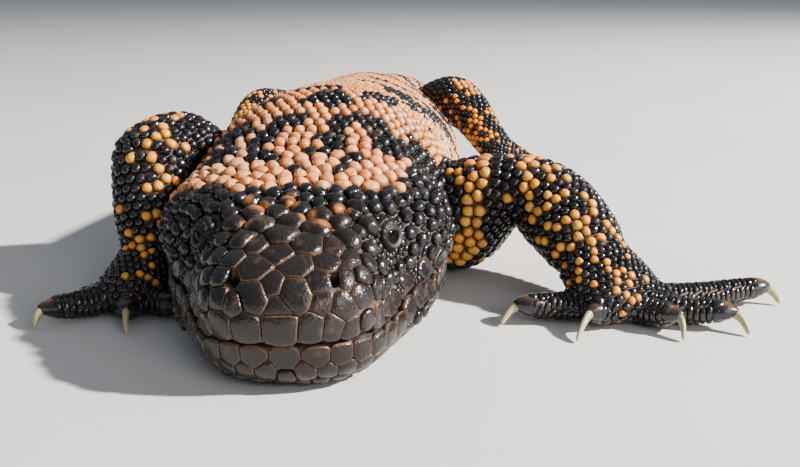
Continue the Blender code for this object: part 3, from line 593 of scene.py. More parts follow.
# Places and sizes of the beads, in mm. A plate is x, y, z, its size across and its size along.
coat = {
    "plates": (
        (-3.8, 0.7, 13.6, 7.0, 4.8), (1.8, 0.9, 13.4, 3.6, 5.4), (5.5, 1.7, 13.4, 3.3, 5.2),
        (8.4, 3.1, 12.4, 3.4, 4.0), (7.4, 2.6, 16.6, 4.4, 3.8), (-9.9, 1.1, 13.4, 5.6, 5.0),
        (-14.6, 2.7, 13.4, 4.7, 5.0), (-4.0, 1.0, 17.3, 4.5, 2.6), (-0.9, 1.8, 19.2, 4.6, 6.4),
        (3.4, 1.8, 17.7, 3.3, 3.2), (10.8, 5.4, 18.0, 4.6, 3.8), (-8.2, 1.8, 18.7, 4.6, 5.7),
        (-12.2, 4.1, 20.6, 3.6, 4.8), (-14.8, 3.8, 17.8, 3.4, 4.6), (-5.1, 2.8, 20.8, 3.1, 4.4),
        (2.9, 3.7, 21.2, 3.8, 4.2), (7.6, 5.8, 21.4, 2.4, 4.8), (-8.5, 5.8, 22.8, 5.4, 4.6),
        (-0.9, 6.0, 23.1, 5.0, 4.2), (4.1, 7.3, 23.3, 4.0, 4.0), (-4.7, 8.6, 24.3, 5.0, 4.4),
        (0.4, 11.0, 25.3, 5.2, 5.0), (5.0, 11.4, 24.8, 3.4, 4.2), (8.4, 10.2, 23.2, 3.4, 3.8),
        (7.9, 15.2, 25.1, 4.4, 4.6), (-4.8, 13.4, 26.1, 5.0, 4.8), (-8.8, 11.2, 25.2, 3.4, 4.2),
        (-13.0, 9.0, 23.2, 3.8, 4.0), (-11.6, 13.4, 25.1, 4.2, 4.4), (10.9, 20.6, 26.0, 5.2, 5.2),
        (-9.2, 17.4, 27.2, 4.2, 4.2), (1.4, 16.4, 27.0, 3.8, 4.2), (-3.4, 18.2, 27.8, 3.8, 3.8),
        (6.2, 19.8, 27.6, 3.6, 4.0), (1.9, 21.2, 28.3, 3.8, 4.2), (-6.6, 22.0, 28.4, 3.8, 3.8),
        (-2.0, 23.4, 28.8, 3.6, 3.6), (-11.0, 21.8, 28.2, 4.2, 4.2), (8.6, 25.2, 28.6, 4.0, 4.4),
        (-14.6, 19.6, 26.8, 4.0, 4.2),
    ),
    # x, y, z of the beads that are orange among the black ones
    "orange": (
        (36.7, 62, 27), (34.9, 61.8, 25.8), (33.7, 61.5, 24.7), (36, 60.6, 24.9),
        (33.5, 60.7, 22.8), (35.6, 59.9, 23), (33.4, 60.2, 20.9), (35.5, 59.5, 20.9), (33.3, 59.9, 18.5),
        (35.6, 59.4, 18.4), (33.5, 59.9, 16.2), (35.8, 59.6, 15.8), (33.9, 60.1, 13.7), (36.2, 60.3, 13.2),
        (30.7, 60.9, 11.5), (32.5, 60.8, 11.4), (34.6, 60.9, 10.7), (36.5, 61.3, 10.4), (30.8, 61.8, 9),
        (32.9, 61.7, 8.8), (34.9, 62, 8.5), (30.2, 63.6, 5.8), (31.9, 64.4, 4.7), (33.2, 63, 6.4),
        (41.9, 58.1, 22.3), (45.4, 61, 28.8), (48.6, 61.2, 29.3), (51.6, 60.2, 28.8), (54, 60.5, 28.6),
        (47, 58.7, 27.4), (51.8, 57, 27.1), (55.3, 57.1, 27.1), (46, 57.4, 25.2), (47.8, 56.8, 25.6),
        (47, 55.8, 22.8), (50.4, 53.6, 23.2), (52.8, 52.2, 23.3), (54.6, 53.1, 24.6), (58.9, 53.5, 24.4),
        (60.2, 51.1, 22.7), (47.1, 55, 19.8), (49, 53.2, 20.9), (51.2, 51.6, 21.6), (56, 48.6, 21.4),
        (60.7, 48.5, 21), (48.1, 53.3, 18.3), (54.1, 47.6, 19.7), (56.9, 45.9, 19.2), (63.2, 47.2, 19),
        (50.4, 49.5, 17.4), (52.1, 47.3, 17.2), (65, 47.6, 17.9), (56.8, 43.9, 17), (59.4, 42.7, 16.3),
        (61.7, 43.9, 17.1), (66.1, 46.9, 16.6), (49.1, 51.5, 14.4), (50.3, 49, 15.2), (52.7, 45.4, 15.1),
        (54.7, 43.5, 15.2), (66.5, 45.1, 15.2), (51.5, 46.4, 12.4), (59, 40.7, 14.6), (53, 43.1, 10.8),
        (56.3, 40.1, 12.9), (59.3, 39.1, 13.4), (61.3, 38, 12.8), (55.8, 38.2, 10.5), (56, 37.1, 9.7),
        (57.9, 35, 9.4), (54.3, 39.5, 7.3), (63.3, 36.2, 11.1), (63.1, 34.6, 9.8), (63.3, 33.2, 8.5),
        (66.7, 37.1, 10.7), (65.5, 34.7, 9.3), (69.8, 37.9, 9.6), (-45, 57, 32.6), (-40.4, 56.5, 32.3),
        (-38.3, 55.6, 30), (-38.4, 53.8, 26.7), (-40.6, 52.6, 25.7), (-36.6, 55.1, 27.2), (-40.4, 60.3, 36.1),
        (-38, 62.4, 36.7), (-36.3, 60.7, 34.7), (-33.9, 62.7, 33.5), (-39.8, 64.4, 38), (-47.3, 52.5, 21.3),
        (-40, 49.5, 19.5), (-38.2, 50.8, 20.9), (-44.1, 48.9, 16.8), (-42.2, 47.8, 16), (-39, 48.1, 15.9),
        (-37.8, 49.5, 17.6), (-43.5, 47.2, 14.1), (-45.2, 47.9, 13.5), (-41.3, 46.2, 13.6),
        (-38.4, 46.3, 12.8), (-39.6, 45, 12.1), (-38.2, 44.2, 10.7), (-40.5, 40.8, 9.1), (-42.9, 40.4, 9.1),
        (-38.5, 40.9, 8.2), (-36.9, 41.3, 7), (-35.9, 48.1, 5.4),
    ),
    # orange spots on the black crown: x, y, z, radius
    "crownSpots": (
        (-12.7, 25.8, 29.0, 0.8), (-10.2, 22.5, 28.5, 1.2), (-4.8, 25.7, 29.4, 1.0), (-3.7, 23.1, 28.9, 0.9),
        (-0.6, 19.0, 27.8, 1.0), (5.7, 21.8, 28.1, 1.1), (2.6, 16.4, 26.8, 0.9), (-11.7, 17.4, 26.7, 0.9),
    ),
    # black patches in the pale nape and shoulders: x, y, half width, half length, turn in degrees
    "patches": (
        (-23.5, 61.0, 5.5, 5.0, 20), (-9.0, 60.6, 2.0, 2.2, 0), (-5.4, 61.7, 2.2, 2.6, 0),
        (-0.3, 71.0, 5.0, 6.0, 0), (2.7, 59.1, 2.2, 2.6, 0), (8.9, 62.6, 5.4, 3.0, 10),
        (1.4, 54.1, 2.8, 4.0, 0), (14.4, 56.4, 5.2, 4.6, 20), (-11.6, 47.0, 4.2, 2.2, 0),
        (-4.7, 40.5, 1.6, 2.2, 0), (-0.2, 48.8, 2.8, 2.2, 0), (5.6, 44.0, 2.0, 4.6, -18),
        (-24.8, 52.0, 4.0, 3.6, 0), (21.0, 59.0, 2.4, 2.2, 0), (-12.0, 57.5, 2.2, 9.0, -30),
        (-15.0, 76.0, 4.0, 4.0, 0), (12.0, 78.0, 5.0, 3.0, 10), (-3.0, 82.0, 7.0, 3.0, 0),
        (9.0, 113.0, 4.0, 3.5, 0), (18.0, 137.0, 4.5, 4.0, 0), (23.5, 101.0, 2.8, 3.4, 0),
        (28.5, 98.0, 2.4, 3.4, 0), (-4.0, 128.0, 5.0, 4.0, 0), (-18.0, 112.0, 5.0, 4.0, 0),
    ),
    # distance from the snout, or share of a limb's length, and the size of the beads there
    "headSpacing": ((0, 4.4), (14, 4.2), (24, 3.7), (34, 3.2), (44, 3.0), (54, 2.85), (60, 2.8)),
    "trunkSpacing": ((50, 2.95), (64, 2.7), (80, 2.65), (150, 2.75), (250, 2.75), (290, 2.65), (350, 2.4),
                     (390, 2.2), (412, 2.0)),
    "limbSpacing": ((0.0, 2.75), (0.4, 2.65), (0.8, 2.4), (1.0, 2.15)),
    "padSpacing": 1.9, "toeAcross": 3.8, "toeAlong": 1.3, "rowStep": 0.88,
    "labialSpacing": 4.7, "labialRise": 2.4, "rearLabial": 7.2,
    "granule": 1.15, "granuleRoom": 0.34,
    "gap": 0.10, "relaxRounds": 7,
}

random = np.random.default_rng(41)
faceNormals = np.array([formNormals[face].mean(axis=0) for face in skinFaces])


def snapped(points):
    # nearest places on the form and its normals there, for many points
    hits = [formTree.find_nearest(p) for p in points.tolist()]
    return np.array([h[0] for h in hits]), faceNormals[np.array([h[2] for h in hits])]


def surfaceAt(points):
    # nearest place on the form, its smooth normal and how far away it is
    places, around, away = np.zeros((len(points), 3)), np.zeros((len(points), 3)), np.zeros(len(points))
    for i, p in enumerate(points):
        place, _, face, distance = formTree.find_nearest(Vector(p))
        places[i], around[i], away[i] = place, formNormals[skinFaces[face]].mean(axis=0), distance
    return places, unit(around), away


def ringAt(length, a):
    # the ring of a length of the chart at a share along it, between its two nearest rings
    knots = length["a"]
    i = int(np.clip(np.searchsorted(knots, a) - 1, 0, len(knots) - 2))
    t = (a - knots[i]) / (knots[i + 1] - knots[i])
    return length["rings"][i] * (1 - t) + length["rings"][i + 1] * t


def roundRing(ring, count, offset):
    # places at equal arc lengths round a closed ring
    closed = np.vstack([ring, ring[:1]])
    arc = np.concatenate([[0], np.cumsum(np.linalg.norm(np.diff(closed, axis=0), axis=1))])
    at = (np.arange(count) + offset) / count * arc[-1] % arc[-1]
    return np.column_stack([np.interp(at, arc, closed[:, k]) for k in range(3)])


def ringLength(ring):
    return np.linalg.norm(ring - np.roll(ring, 1, axis=0), axis=1).sum()


def rowsAlong(length, low, high, across, along, offset=0.5):
    # rows of beads across a length, each row half a bead on from the last with a little sway
    found, a, row = [], low, 0
    while a < high:
        ring = ringAt(length, a)
        count = max(int(round(ringLength(ring) / across(a))), 4)
        found.append(roundRing(ring, count, (row % 2) * offset + 0.07 * math.sin(row * 2.3)))
        ahead = min(a + 0.01 * (length["a"][-1] - length["a"][0]), high)
        travel = np.linalg.norm(ringAt(length, ahead).mean(axis=0) - ring.mean(axis=0))
        a += along(a) * max(ahead - a, 1e-6) / max(travel, 1e-3)
        row += 1
    return np.vstack(found)


def gather(groups):
    # joins groups of beads, each a dictionary of arrays or single values, in one dictionary of arrays
    out = {}
    for key in ("size", "stretch", "rise", "square", "kind", "fixed"):
        values = [np.broadcast_to(np.asarray(g[key], float), len(g["place"])) for g in groups]
        out[key] = np.concatenate(values)
    out["place"] = np.vstack([g["place"] for g in groups])
    out["along"] = np.vstack([np.broadcast_to(g["along"], (len(g["place"]), 3)) for g in groups])
    return out


def group(place, size, along, stretch=1.0, rise=0.36, square=2.1, kind=0, fixed=0):
    return {"place": np.asarray(place, float), "size": size, "along": np.asarray(along, float),
            "stretch": stretch, "rise": rise, "square": square, "kind": kind, "fixed": fixed}


def mouthLine(side):
    # the line of the mouth on one side of the head, from the middle of the snout to its corner
    distance = np.concatenate([np.linspace(0.02, 2, 30), np.linspace(2, skin["mouthEnd"], 120)[1:]])
    return np.array([onHead((y, z), side) for y, z in zip(distance, mouthAt(distance))])


def alongLine(line, step, start):
    # places at equal steps along a line of points
    arc = np.concatenate([[0], np.cumsum(np.linalg.norm(np.diff(line, axis=0), axis=1))])
    at = np.arange(start, arc[-1], step)
    return np.column_stack([np.interp(at, arc, line[:, k]) for k in range(3)])


def headSeeds():
    table = np.array(coat["plates"])
    size = np.sqrt(table[:, 3] * table[:, 4])
    # flat on the snout, domed on the crown
    domed = np.clip((table[:, 1] - 8) / 7, 0, 1)
    out = [group(table[:, :3], size, (0, 0.7, 0.7), np.sqrt(table[:, 4] / table[:, 3]),
                 0.14 + 0.26 * domed, 3.4 - 1.3 * domed, 1, 1)]
    for side in (-1, 1):
        line = mouthLine(side)
        # the upper lip behind the plates that are placed one by one, and the whole lower lip
        front = alongLine(line, coat["labialSpacing"], 6.0)
        front = front[(front[:, 1] > (6.5 if side > 0 else 5.5)) & (front[:, 1] < 15)]
        rear = alongLine(line[line[:, 1] > 17.0], coat["rearLabial"], 0.5)
        out.append(group(rear + [0, 0, 2.1], 4.9, (0, 0, 1), 0.70, 0.14, 4.0, 1, 1))
        upper = front + [0, 0, coat["labialRise"]]
        lower = alongLine(line, coat["labialSpacing"], 0.95 * coat["labialSpacing"]) - [0, 0, 2.5]
        second = alongLine(line, coat["labialSpacing"] * 0.9, 2.2) - [0, 0, 6.0]
        out.append(group(upper, 4.5, (0, 0, 1), 1.06, 0.15, 3.6, 1, 1))
        out.append(group(lower, 4.5, (0, 0, 1), 1.06, 0.13, 3.8, 1, 1))
        out.append(group(second[second[:, 1] < 40], 4.0, (0, 0, 1), 0.95, 0.13, 3.6, 1, 1))
    chin = [(spineAt(1)[0], 0.8, 7.2)]
    out.append(group(chin, 4.2, (0, 0, 1), 1.1, 0.13, 3.8, 1, 1))
    return out


def eyeSeeds():
    # two rings of granules round each eye
    out = []
    for side in (-1, 1):
        place, axis, across, up = eyeFrame(side)
        for reach, size, turn in ((3.95, 1.35, 0.0), (5.3, 1.75, 0.5)):
            count = int(round(2 * math.pi * reach / (size * 1.02)))
            angle = (np.arange(count) + turn) / count * 2 * np.pi
            ways = np.cos(angle)[:, None] * across + np.sin(angle)[:, None] * up
            ring = place + axis * 2.0 + reach * ways
            out.append(group(ring, size, up, 1.0, 0.34, 2.2, 2, 1))
    return out


def bodySeeds():
    # rows of round beads on the trunk, limbs and pads, and narrow bands across each toe
    step = coat["rowStep"]
    spacing = lambda a: readTable(coat["trunkSpacing"], a)[0, 0]
    places = rowsAlong(chart[2], 57.0, 410.5, spacing, lambda a: step * spacing(a))
    y, z = places[:, 1], places[:, 2]
    rise = 0.38 + 0.12 * np.clip((110 - y) / 40, 0, 1) * np.clip((z - 22) / 6, 0, 1)
    out = [group(places, readTable(coat["trunkSpacing"], y)[:, 0], (0, 1, 0), rise=rise)]
    for length in chart[3:]:
        middle = length["rings"].mean(axis=1)
        way = unit(np.gradient(middle, axis=0))
        if length["name"] == "limb":
            spacing = lambda a: readTable(coat["limbSpacing"], a)[0, 0]
            places = rowsAlong(length, 0.1, 1.0, spacing, lambda a: step * spacing(a))
            near = np.array([np.argmin(((middle - p) ** 2).sum(axis=1)) for p in places])
            size = readTable(coat["limbSpacing"], length["a"][near])[:, 0]
            out.append(group(places, size, way[near]))
        elif length["name"] == "pad":
            wide = coat["padSpacing"]
            places = rowsAlong(length, 0.22, 0.86, lambda a: wide, lambda a: step * wide)
            out.append(group(places, wide, way[len(way) // 2]))
        else:
            wide, narrow = coat["toeAcross"], coat["toeAlong"]
            places = rowsAlong(length, 0.3, 0.92, lambda a: wide, lambda a: narrow, 0.0)
            near = np.array([np.argmin(((middle - p) ** 2).sum(axis=1)) for p in places])
            out.append(group(places, math.sqrt(wide * narrow), way[near], math.sqrt(narrow / wide),
                             0.20, 2.2, 3, 0.8))
    return out


def spacingAt(places):
    # the size that a bead has at a place
    part, a, _, _ = whereOn(places)
    names = chartNames[part]
    size = np.where(part <= 1, readTable(coat["headSpacing"], places[:, 1])[:, 0],
                    np.where(part == 2, readTable(coat["trunkSpacing"], places[:, 1])[:, 0], 2.2))
    size = np.where(names == "limb", readTable(coat["limbSpacing"], np.clip(a, 0, 1))[:, 0], size)
    size = np.where(names == "pad", coat["padSpacing"], size)
    size = np.where(np.char.startswith(names, "toe"), 1.7, size)
    # the throat and the lower face carry smaller scales than the crown
    throat = (part == 1) & (places[:, 2] < mouthAt(places[:, 1]) - 4.5)
    return np.where(throat, np.minimum(size, 3.4), size)


def seedTree(places):
    found = KDTree(len(places))
    for i, p in enumerate(places):
        found.insert(p, i)
    found.balance()
    return found


def fillGaps(seeds):
    # adds a bead wherever the form is left bare, trying its points in a random order
    order = random.permutation(len(formPoints))
    tries = formPoints[order]
    known = seedTree(seeds["place"])
    nearest = [known.find(p) for p in tries]
    room = np.array([n[2] for n in nearest])
    other = seeds["size"][[n[1] for n in nearest]]
    bare = room > 1.0
    tries, room, other = tries[bare], room[bare], other[bare]
    size = spacingAt(tries)
    part, a, _, _ = whereOn(tries)
    toes = np.char.startswith(chartNames[part], "toe") & (a > 0.3)
    lip = tries[:, 2] - mouthAt(tries[:, 1])
    lips = (part <= 1) & (lip > -1) & (lip < 3.8) & (tries[:, 1] > 14) & (tries[:, 1] < skin["mouthEnd"])
    keep = (room > np.where(part <= 1, 0.43, 0.37) * (size + other)) & ~toes & ~lips
    tries, size = tries[keep], size[keep]
    cells, added = {}, []
    for i, (p, s) in enumerate(zip(tries.tolist(), size.tolist())):
        key = tuple(int(v // 4.6) for v in p)
        close = [j for dx in (-1, 0, 1) for dy in (-1, 0, 1) for dz in (-1, 0, 1)
                 for j in cells.get((key[0] + dx, key[1] + dy, key[2] + dz), ())]
        if all(math.dist(p, tries[j]) > 0.43 * (s + size[j]) for j in close):
            cells.setdefault(key, []).append(i)
            added.append(i)
    places = tries[added]
    way = whereOn(places)[3]
    # flat on the snout, higher domes than half balls on the crown and nape
    face = np.clip((17 - places[:, 1]) / 6, 0, 1)
    crown = np.clip((places[:, 1] - 22) / 6, 0, 1) * np.clip((72 - places[:, 1]) / 20, 0, 1)
    crown = crown * np.clip((places[:, 2] - 22) / 5, 0, 1)
    return gather([seeds, {"place": places, "size": size[added], "along": way, "stretch": 1.0,
                           "rise": 0.37 - 0.15 * face + 0.16 * crown, "square": 2.1 + 0.7 * face,
                           "kind": 0, "fixed": 0}])


def metric(seeds, normals):
    # distance along a bead counts 1 / stretch and across it counts stretch
    along = unit(seeds["along"] - (seeds["along"] * normals).sum(axis=1)[:, None] * normals)
    across = np.cross(normals, along)
    k = seeds["stretch"][:, None, None]
    outer = lambda v: v[:, :, None] * v[:, None, :]
    return along, across, outer(along) / k**2 + outer(across) * k**2 + outer(normals)


def neighbours(places, count):
    # the numbers of the nearest other beads to each
    found = seedTree(places)
    return np.array([[m[1] for m in found.find_n(p, count + 1)[1:]] for p in places])


def keepSome(seeds, keep):
    return {key: value[keep] for key, value in seeds.items()}


def thinned(seeds, normals):
    # which beads stay: the earlier of two that crowd each other, and a placed one before a grown one
    _, _, shape = metric(seeds, normals)
    near = neighbours(seeds["place"], 8)
    d = seeds["place"][near] - seeds["place"][:, None]
    far = np.sqrt(np.maximum(np.einsum("nki,nij,nkj->nk", d, shape, d), 0))
    want = 0.5 * (seeds["size"][:, None] + seeds["size"][near])
    rank = np.arange(len(far)) - 100000 * np.ceil(seeds["fixed"])
    return ~((far < 0.62 * want) & (rank[near] < rank[:, None])).any(axis=1)


def relaxed(seeds):
    # crowded beads push each other apart along the form, and the placed ones stay
    for _ in range(coat["relaxRounds"]):
        places, normals, _ = surfaceAt(seeds["place"])
        seeds["place"] = places
        _, _, shape = metric(seeds, normals)
        near = neighbours(places, 8)
        d = places[near] - places[:, None]
        shape = 0.5 * (shape[:, None] + shape[near])
        far = np.sqrt(np.maximum(np.einsum("nki,nkij,nkj->nk", d, shape, d), 1e-6))
        want = 0.98 * 0.5 * (seeds["size"][:, None] + seeds["size"][near])
        push = np.clip(want - far, 0, 1.2) / far
        move = -(d * push[:, :, None]).sum(axis=1) * 0.28
        limit = np.linalg.norm(move, axis=1, keepdims=True)
        move *= np.minimum(1, 0.5 / np.maximum(limit, 1e-6))
        seeds["place"] = places + move * (1 - seeds["fixed"])[:, None]
    return seeds


def ghostSeeds():
    # places that hold no bead but keep the beads' edges off the eyes, nostrils, ears and mouth
    out = []
    for side in (-1, 1):
        place, axis, _, _ = eyeFrame(side)
        out.append(group([place + axis * 2], 6.6, (0, 0, 1)))
        out.append(group([nostrilPlace(side)], 2.1, (0, 0, 1), 1.25))
        ear = onHead(skin["earAt"], side)
        out.append(group([ear + [0, 0, dz] for dz in (-1.8, 0, 1.8)], 2.4, (0, 0, 1)))
        out.append(group(alongLine(mouthLine(side), 1.3, 0.6), 0.45, (0, 0, 1)))
    ghosts = gather(out)
    ghosts["kind"][:] = 9
    ghosts["place"] = surfaceAt(ghosts["place"])[0]
    return ghosts


def clearOfFeatures(places):
    # no bead in an eye, a nostril, an ear or the line of the mouth
    keep = np.ones(len(places), bool)
    for side in (-1, 1):
        place, axis, _, _ = eyeFrame(side)
        away = places - place
        out = away @ axis
        off = np.sqrt(np.maximum((away**2).sum(axis=1) - out**2, 0))
        keep &= ~((off < 3.3) & (out > -1))
        keep &= np.linalg.norm(places - nostrilPlace(side), axis=1) > 1.5
        keep &= np.linalg.norm((places - onHead(skin["earAt"], side)) / [4, 1.5, 3.0], axis=1) > 1
    y, halfHead = places[:, 1], 33.5
    onFace = (y < skin["mouthEnd"]) & (np.abs(places[:, 0] - spineAt(y)) < halfHead)
    return keep & ~((np.abs(places[:, 2] - mouthAt(y)) < 1.0) & onFace)


def granules(seeds):
    # small grains in the corners between the beads of the cheeks and the jaw's rear
    order = random.permutation(len(formPoints))
    tries = formPoints[order]
    part = whereOn(tries)[0]
    side = (tries[:, 2] > 2) & (tries[:, 2] < 25.5)
    tries = tries[(part <= 1) & (tries[:, 1] > 17) & (tries[:, 1] < 52) & side]
    known = seedTree(seeds["place"])
    nearest = [known.find_n(p, 2) for p in tries]
    spare = np.array([min(m[2] - 0.5 * seeds["size"][m[1]] for m in n) for n in nearest])
    tries = tries[spare > coat["granuleRoom"]]
    kept = []
    for p in tries:
        if all(((p - q) ** 2).sum() > 1.25 for q in kept):
            kept.append(p)
    return gather([seeds, group(kept, coat["granule"], (0, 1, 0), 1.0, 0.36, 2.0, 2, 1)])


def placeBeads():
    seeds = gather(headSeeds() + eyeSeeds() + bodySeeds())
    places, normals, away = surfaceAt(seeds["place"])
    keep = (away < 1.3) | (seeds["kind"] == 1) | (seeds["kind"] == 2)
    keep &= ~((seeds["place"][:, 1] < 57) & (seeds["kind"] == 0) & (np.abs(seeds["place"][:, 0]) < 33))
    seeds["place"] = places
    keep &= clearOfFeatures(places)
    seeds, normals = keepSome(seeds, keep), normals[keep]
    seeds = keepSome(seeds, thinned(seeds, normals))
    # the bead nearest to an orange place moves there
    spots = surfaceAt(np.array(coat["orange"]))[0]
    found = seedTree(seeds["place"])
    for spot in spots:
        i, away = found.find(spot)[1:]
        if away < 1.6 and not seeds["fixed"][i]:
            seeds["place"][i] = spot
            seeds["fixed"][i] = 0.55
            seeds["size"][i] *= 1.12
    for _ in range(2):
        seeds = fillGaps(seeds)
        seeds = keepSome(seeds, clearOfFeatures(seeds["place"]))
        seeds = relaxed(seeds)
    seeds = granules(seeds)
    places, normals, _ = surfaceAt(seeds["place"])
    seeds["place"] = places
    keep = clearOfFeatures(places) & thinned(seeds, normals)
    return keepSome(seeds, keep), normals[keep]


seeds, seedNormals = placeBeads()
print(f"beads {len(seeds['place'])}, {time.time() - startTime:.1f} s")

# Colours are linear. The head is black, the nape and back are salmon with black patches,
# and the limbs are black with orange beads.
colours = {
    "black": (0.008, 0.008, 0.0105), "face": (0.0115, 0.0088, 0.0078), "jaw": (0.0105, 0.0058, 0.0044),
    "salmon": (0.72, 0.245, 0.068), "palePink": (0.76, 0.38, 0.17),
    "orange": (0.72, 0.25, 0.018), "yellow": (0.74, 0.36, 0.045), "crownOrange": (0.46, 0.155, 0.032),
    "plateRim": (0.175, 0.105, 0.062), "domeRim": (0.05, 0.033, 0.022),
    "darkSkin": (0.030, 0.022, 0.019), "faceSkin": (0.082, 0.050, 0.033), "pinkSkin": (0.10, 0.036, 0.018),
    "limbSkin": (0.075, 0.040, 0.034), "toeSeam": (0.06, 0.036, 0.026),
    # the next line's two colours are painted shade: under the upper lip, and in the line of the mouth, the
    # nostrils and the ears
    "lipUnderShade": (0.020, 0.014, 0.011), "openingShade": (0.006, 0.004, 0.004),
    # the first colour on the next line is a painted highlight on top of each toe cap
    "toeTip": (0.14, 0.06, 0.024), "toeBlack": (0.012, 0.010, 0.011),
    "edge": 32.3,             # where the black of the head ends on the crown, in mm from the snout
    "backScale": (17.0, 11.0, 15.0), "netLevel": 0.525,
    "chainAt": 83.0,
    "tailStart": 268.0, "tailBand": 27.0,
}


def lattice(cells, seed):
    # a number from 0 to 1 for each whole-number cell, from a sine of its place
    dot = cells[..., 0] * 12.9898 + cells[..., 1] * 78.233 + cells[..., 2] * 37.719 + seed * 17.13
    value = np.sin(dot) * 43758.5453
    return value - np.floor(value)


def noiseAt(points, scale, seed=0):
    # smooth noise from 0 to 1: values at the corners of cells, blended by 3t^2 - 2t^3 along each axis
    p = points / np.asarray(scale, float)
    cell = np.floor(p)
    t = p - cell
    t = t * t * (3 - 2 * t)
    total = 0
    for dx in (0, 1):
        for dy in (0, 1):
            for dz in (0, 1):
                weight = np.abs(1 - dx - t[..., 0]) * np.abs(1 - dy - t[..., 1])
                weight = weight * np.abs(1 - dz - t[..., 2])
                total = total + weight * lattice(cell + [dx, dy, dz], seed)
    return total


def patchesAt(points, wobble):
    # inside an ellipse of the patches: (u / wide)^2 + (v / long)^2 < 1, with a ragged edge
    x, y, _ = points.T
    ragged = 2 * noiseAt(points, 3.3, 8) - 1
    found = np.zeros(len(points), bool)
    for px, py, wide, long, turn in coat["patches"]:
        c, s = math.cos(math.radians(turn)), math.sin(math.radians(turn))
        u, v = (x - px) * c + (y - py) * s, (y - py) * c - (x - px) * s
        found |= (u / wide) ** 2 + (v / long) ** 2 < 1 + 0.35 * wobble + 0.5 * ragged
    return found & (points[:, 2] > 20)


def netAt(points, wobble):
    # the back: black blotches joined crosswise in a net, fewer towards the shoulders and low on the
    # sides, and a broken chain of them across the shoulders
    x, y, z = points.T
    dx = x - spineAt(y)
    warp = points + 5 * np.stack([noiseAt(points, 13.0, seed) for seed in (5, 6, 7)], axis=1)
    net = 0.66 * noiseAt(warp, colours["backScale"], 11) + 0.34 * noiseAt(warp, 6.5, 12)
    level = colours["netLevel"] + 0.05 * np.clip((14 - z) / 10, 0, 1) + 0.11 * np.clip((165 - y) / 50, 0, 1)
    away = np.abs(y - colours["chainAt"] - 5 * wobble - 0.006 * dx**2)
    chain = away < 4.2 * noiseAt(points, 5.5, 9) - 1.2
    return (net > level) | (chain & (z > 26 + 4 * wobble))


def darkness(points, part, b):
    # true where the animal is black and false where it is pale
    x, y, z = points.T
    dx = x - spineAt(y)
    wobble = 2 * noiseAt(points, 7.0, 3) - 1
    # the nape and shoulders: pale over the crown, black round the face and low on the cheeks
    low = 24.5 + 4.5 * np.clip((y - 30) / 25, 0, 1) - 7 * np.clip((y - 70) / 30, 0, 1)
    low = low - 7 * np.clip((-8 - dx) / 6, 0, 1) * np.clip((y - 38) / 10, 0, 1)
    edge = colours["edge"] + 0.62 * np.maximum(np.abs(dx) - 10.5, 0) + 1.7 * wobble
    head = (y < edge) | (z < low + 2.5 * wobble)
    head |= (np.abs(dx) > np.where(dx < 0, 31.0, 21.5) + 2 * wobble) & (y < 66)
    patches = patchesAt(points, wobble)
    head |= patches
    # the tail: broad black bands with pale flecks between pale bands with black flecks
    turn = (y - colours["tailStart"] + 3 * wobble + 2.0 * np.sin(b * 4 * np.pi)) / colours["tailBand"]
    fleck = noiseAt(points, 4.2, 21)
    tail = (np.cos(2 * np.pi * turn) + 1.5 * (fleck - 0.5)) > 0.05
    rear = np.where(fleck < np.clip((y - 262) / 24, 0, 1), tail, netAt(points, wobble))
    trunk = np.where(y < 80 + 6 * wobble, head, rear | patches)
    return np.where(part <= 2, np.where(y < 60, head, trunk), True)


def limbPale(points, part, lot):
    # whether a limb's bead is orange: more are on its middle than on the foot
    names, pieces = chartNames[part], chartPieces[part]
    cluster = noiseAt(points, 6.5, 31)
    chance = np.where(names == "limb", 0.30, np.where(names == "pad", 0.16, -1.0))
    chance = np.where(np.char.startswith(pieces, "arm"), chance * 0.25, chance)
    chance = np.where((pieces == "armLeft") & (points[:, 1] > 63), 0.28, chance)
    chance = np.where((pieces == "armRight") & (points[:, 1] > 66), 0.28, chance)
    return (part > 2) & (0.45 * lot + 0.55 * cluster < chance + 0.12)


def hue(points, part, lot):
    # the pale colour at a place: salmon on the back, orange on the limbs, flanks and low neck
    mix = lambda p, q, t: p * (1 - t[:, None]) + q * t[:, None]
    salmon, pink = np.array(colours["salmon"]), np.array(colours["palePink"])
    orange, yellow = np.array(colours["orange"]), np.array(colours["yellow"])
    back = mix(salmon[None], pink[None], np.clip(0.9 * lot * noiseAt(points, 9.0, 41) * 1.6, 0, 1))
    limb = mix(orange[None], yellow[None], lot)
    low = np.clip((17 - points[:, 2]) / 6, 0, 1) * (part <= 2) * np.clip(1 - (points[:, 1] - 60) / 60, 0, 1)
    share = np.maximum((part > 2).astype(float), low)
    return mix(back, limb, share)


lot = random.random(len(seeds["place"]))
seedPart, seedA, seedB, _ = whereOn(seeds["place"])


def beadLooks():
    # base colour, roughness and whether it is dark, for each bead
    points = seeds["place"]
    dark = darkness(points, seedPart, seedB)
    pale = limbPale(points, seedPart, lot)
    spotted = np.zeros(len(points), bool)
    known = seedTree(points)
    for spot in surfaceAt(np.array(coat["orange"]))[0]:
        spotted[known.find(spot)[1]] = True
    spotted &= (seedPart > 1) & (seeds["kind"] == 0)
    # a few beads are of the other colour inside a patch
    strays = (lot > 0.975) & (seedPart == 2)
    dark = (dark ^ strays) & ~pale & ~spotted
    light = hue(points, seedPart, lot)
    face = np.clip((30 - points[:, 1]) / 10, 0, 1) * (seedPart <= 1)
    face = np.maximum(face, (seedPart == 1) * 0.7)
    near = np.where((seedPart == 1)[:, None], colours["jaw"], colours["face"])
    deep = np.array(colours["black"]) * (1 - face[:, None]) + near * face[:, None]
    colour = np.where(dark[:, None], deep, light)
    colour = colour * (0.82 + 0.36 * random.random(len(points)))[:, None]
    rough = np.where(dark, 0.18 + 0.07 * face, 0.38) + 0.10 * (random.random(len(points)) - 0.5)
    return colour, rough, dark


beadColour, beadRough, beadDark = beadLooks()


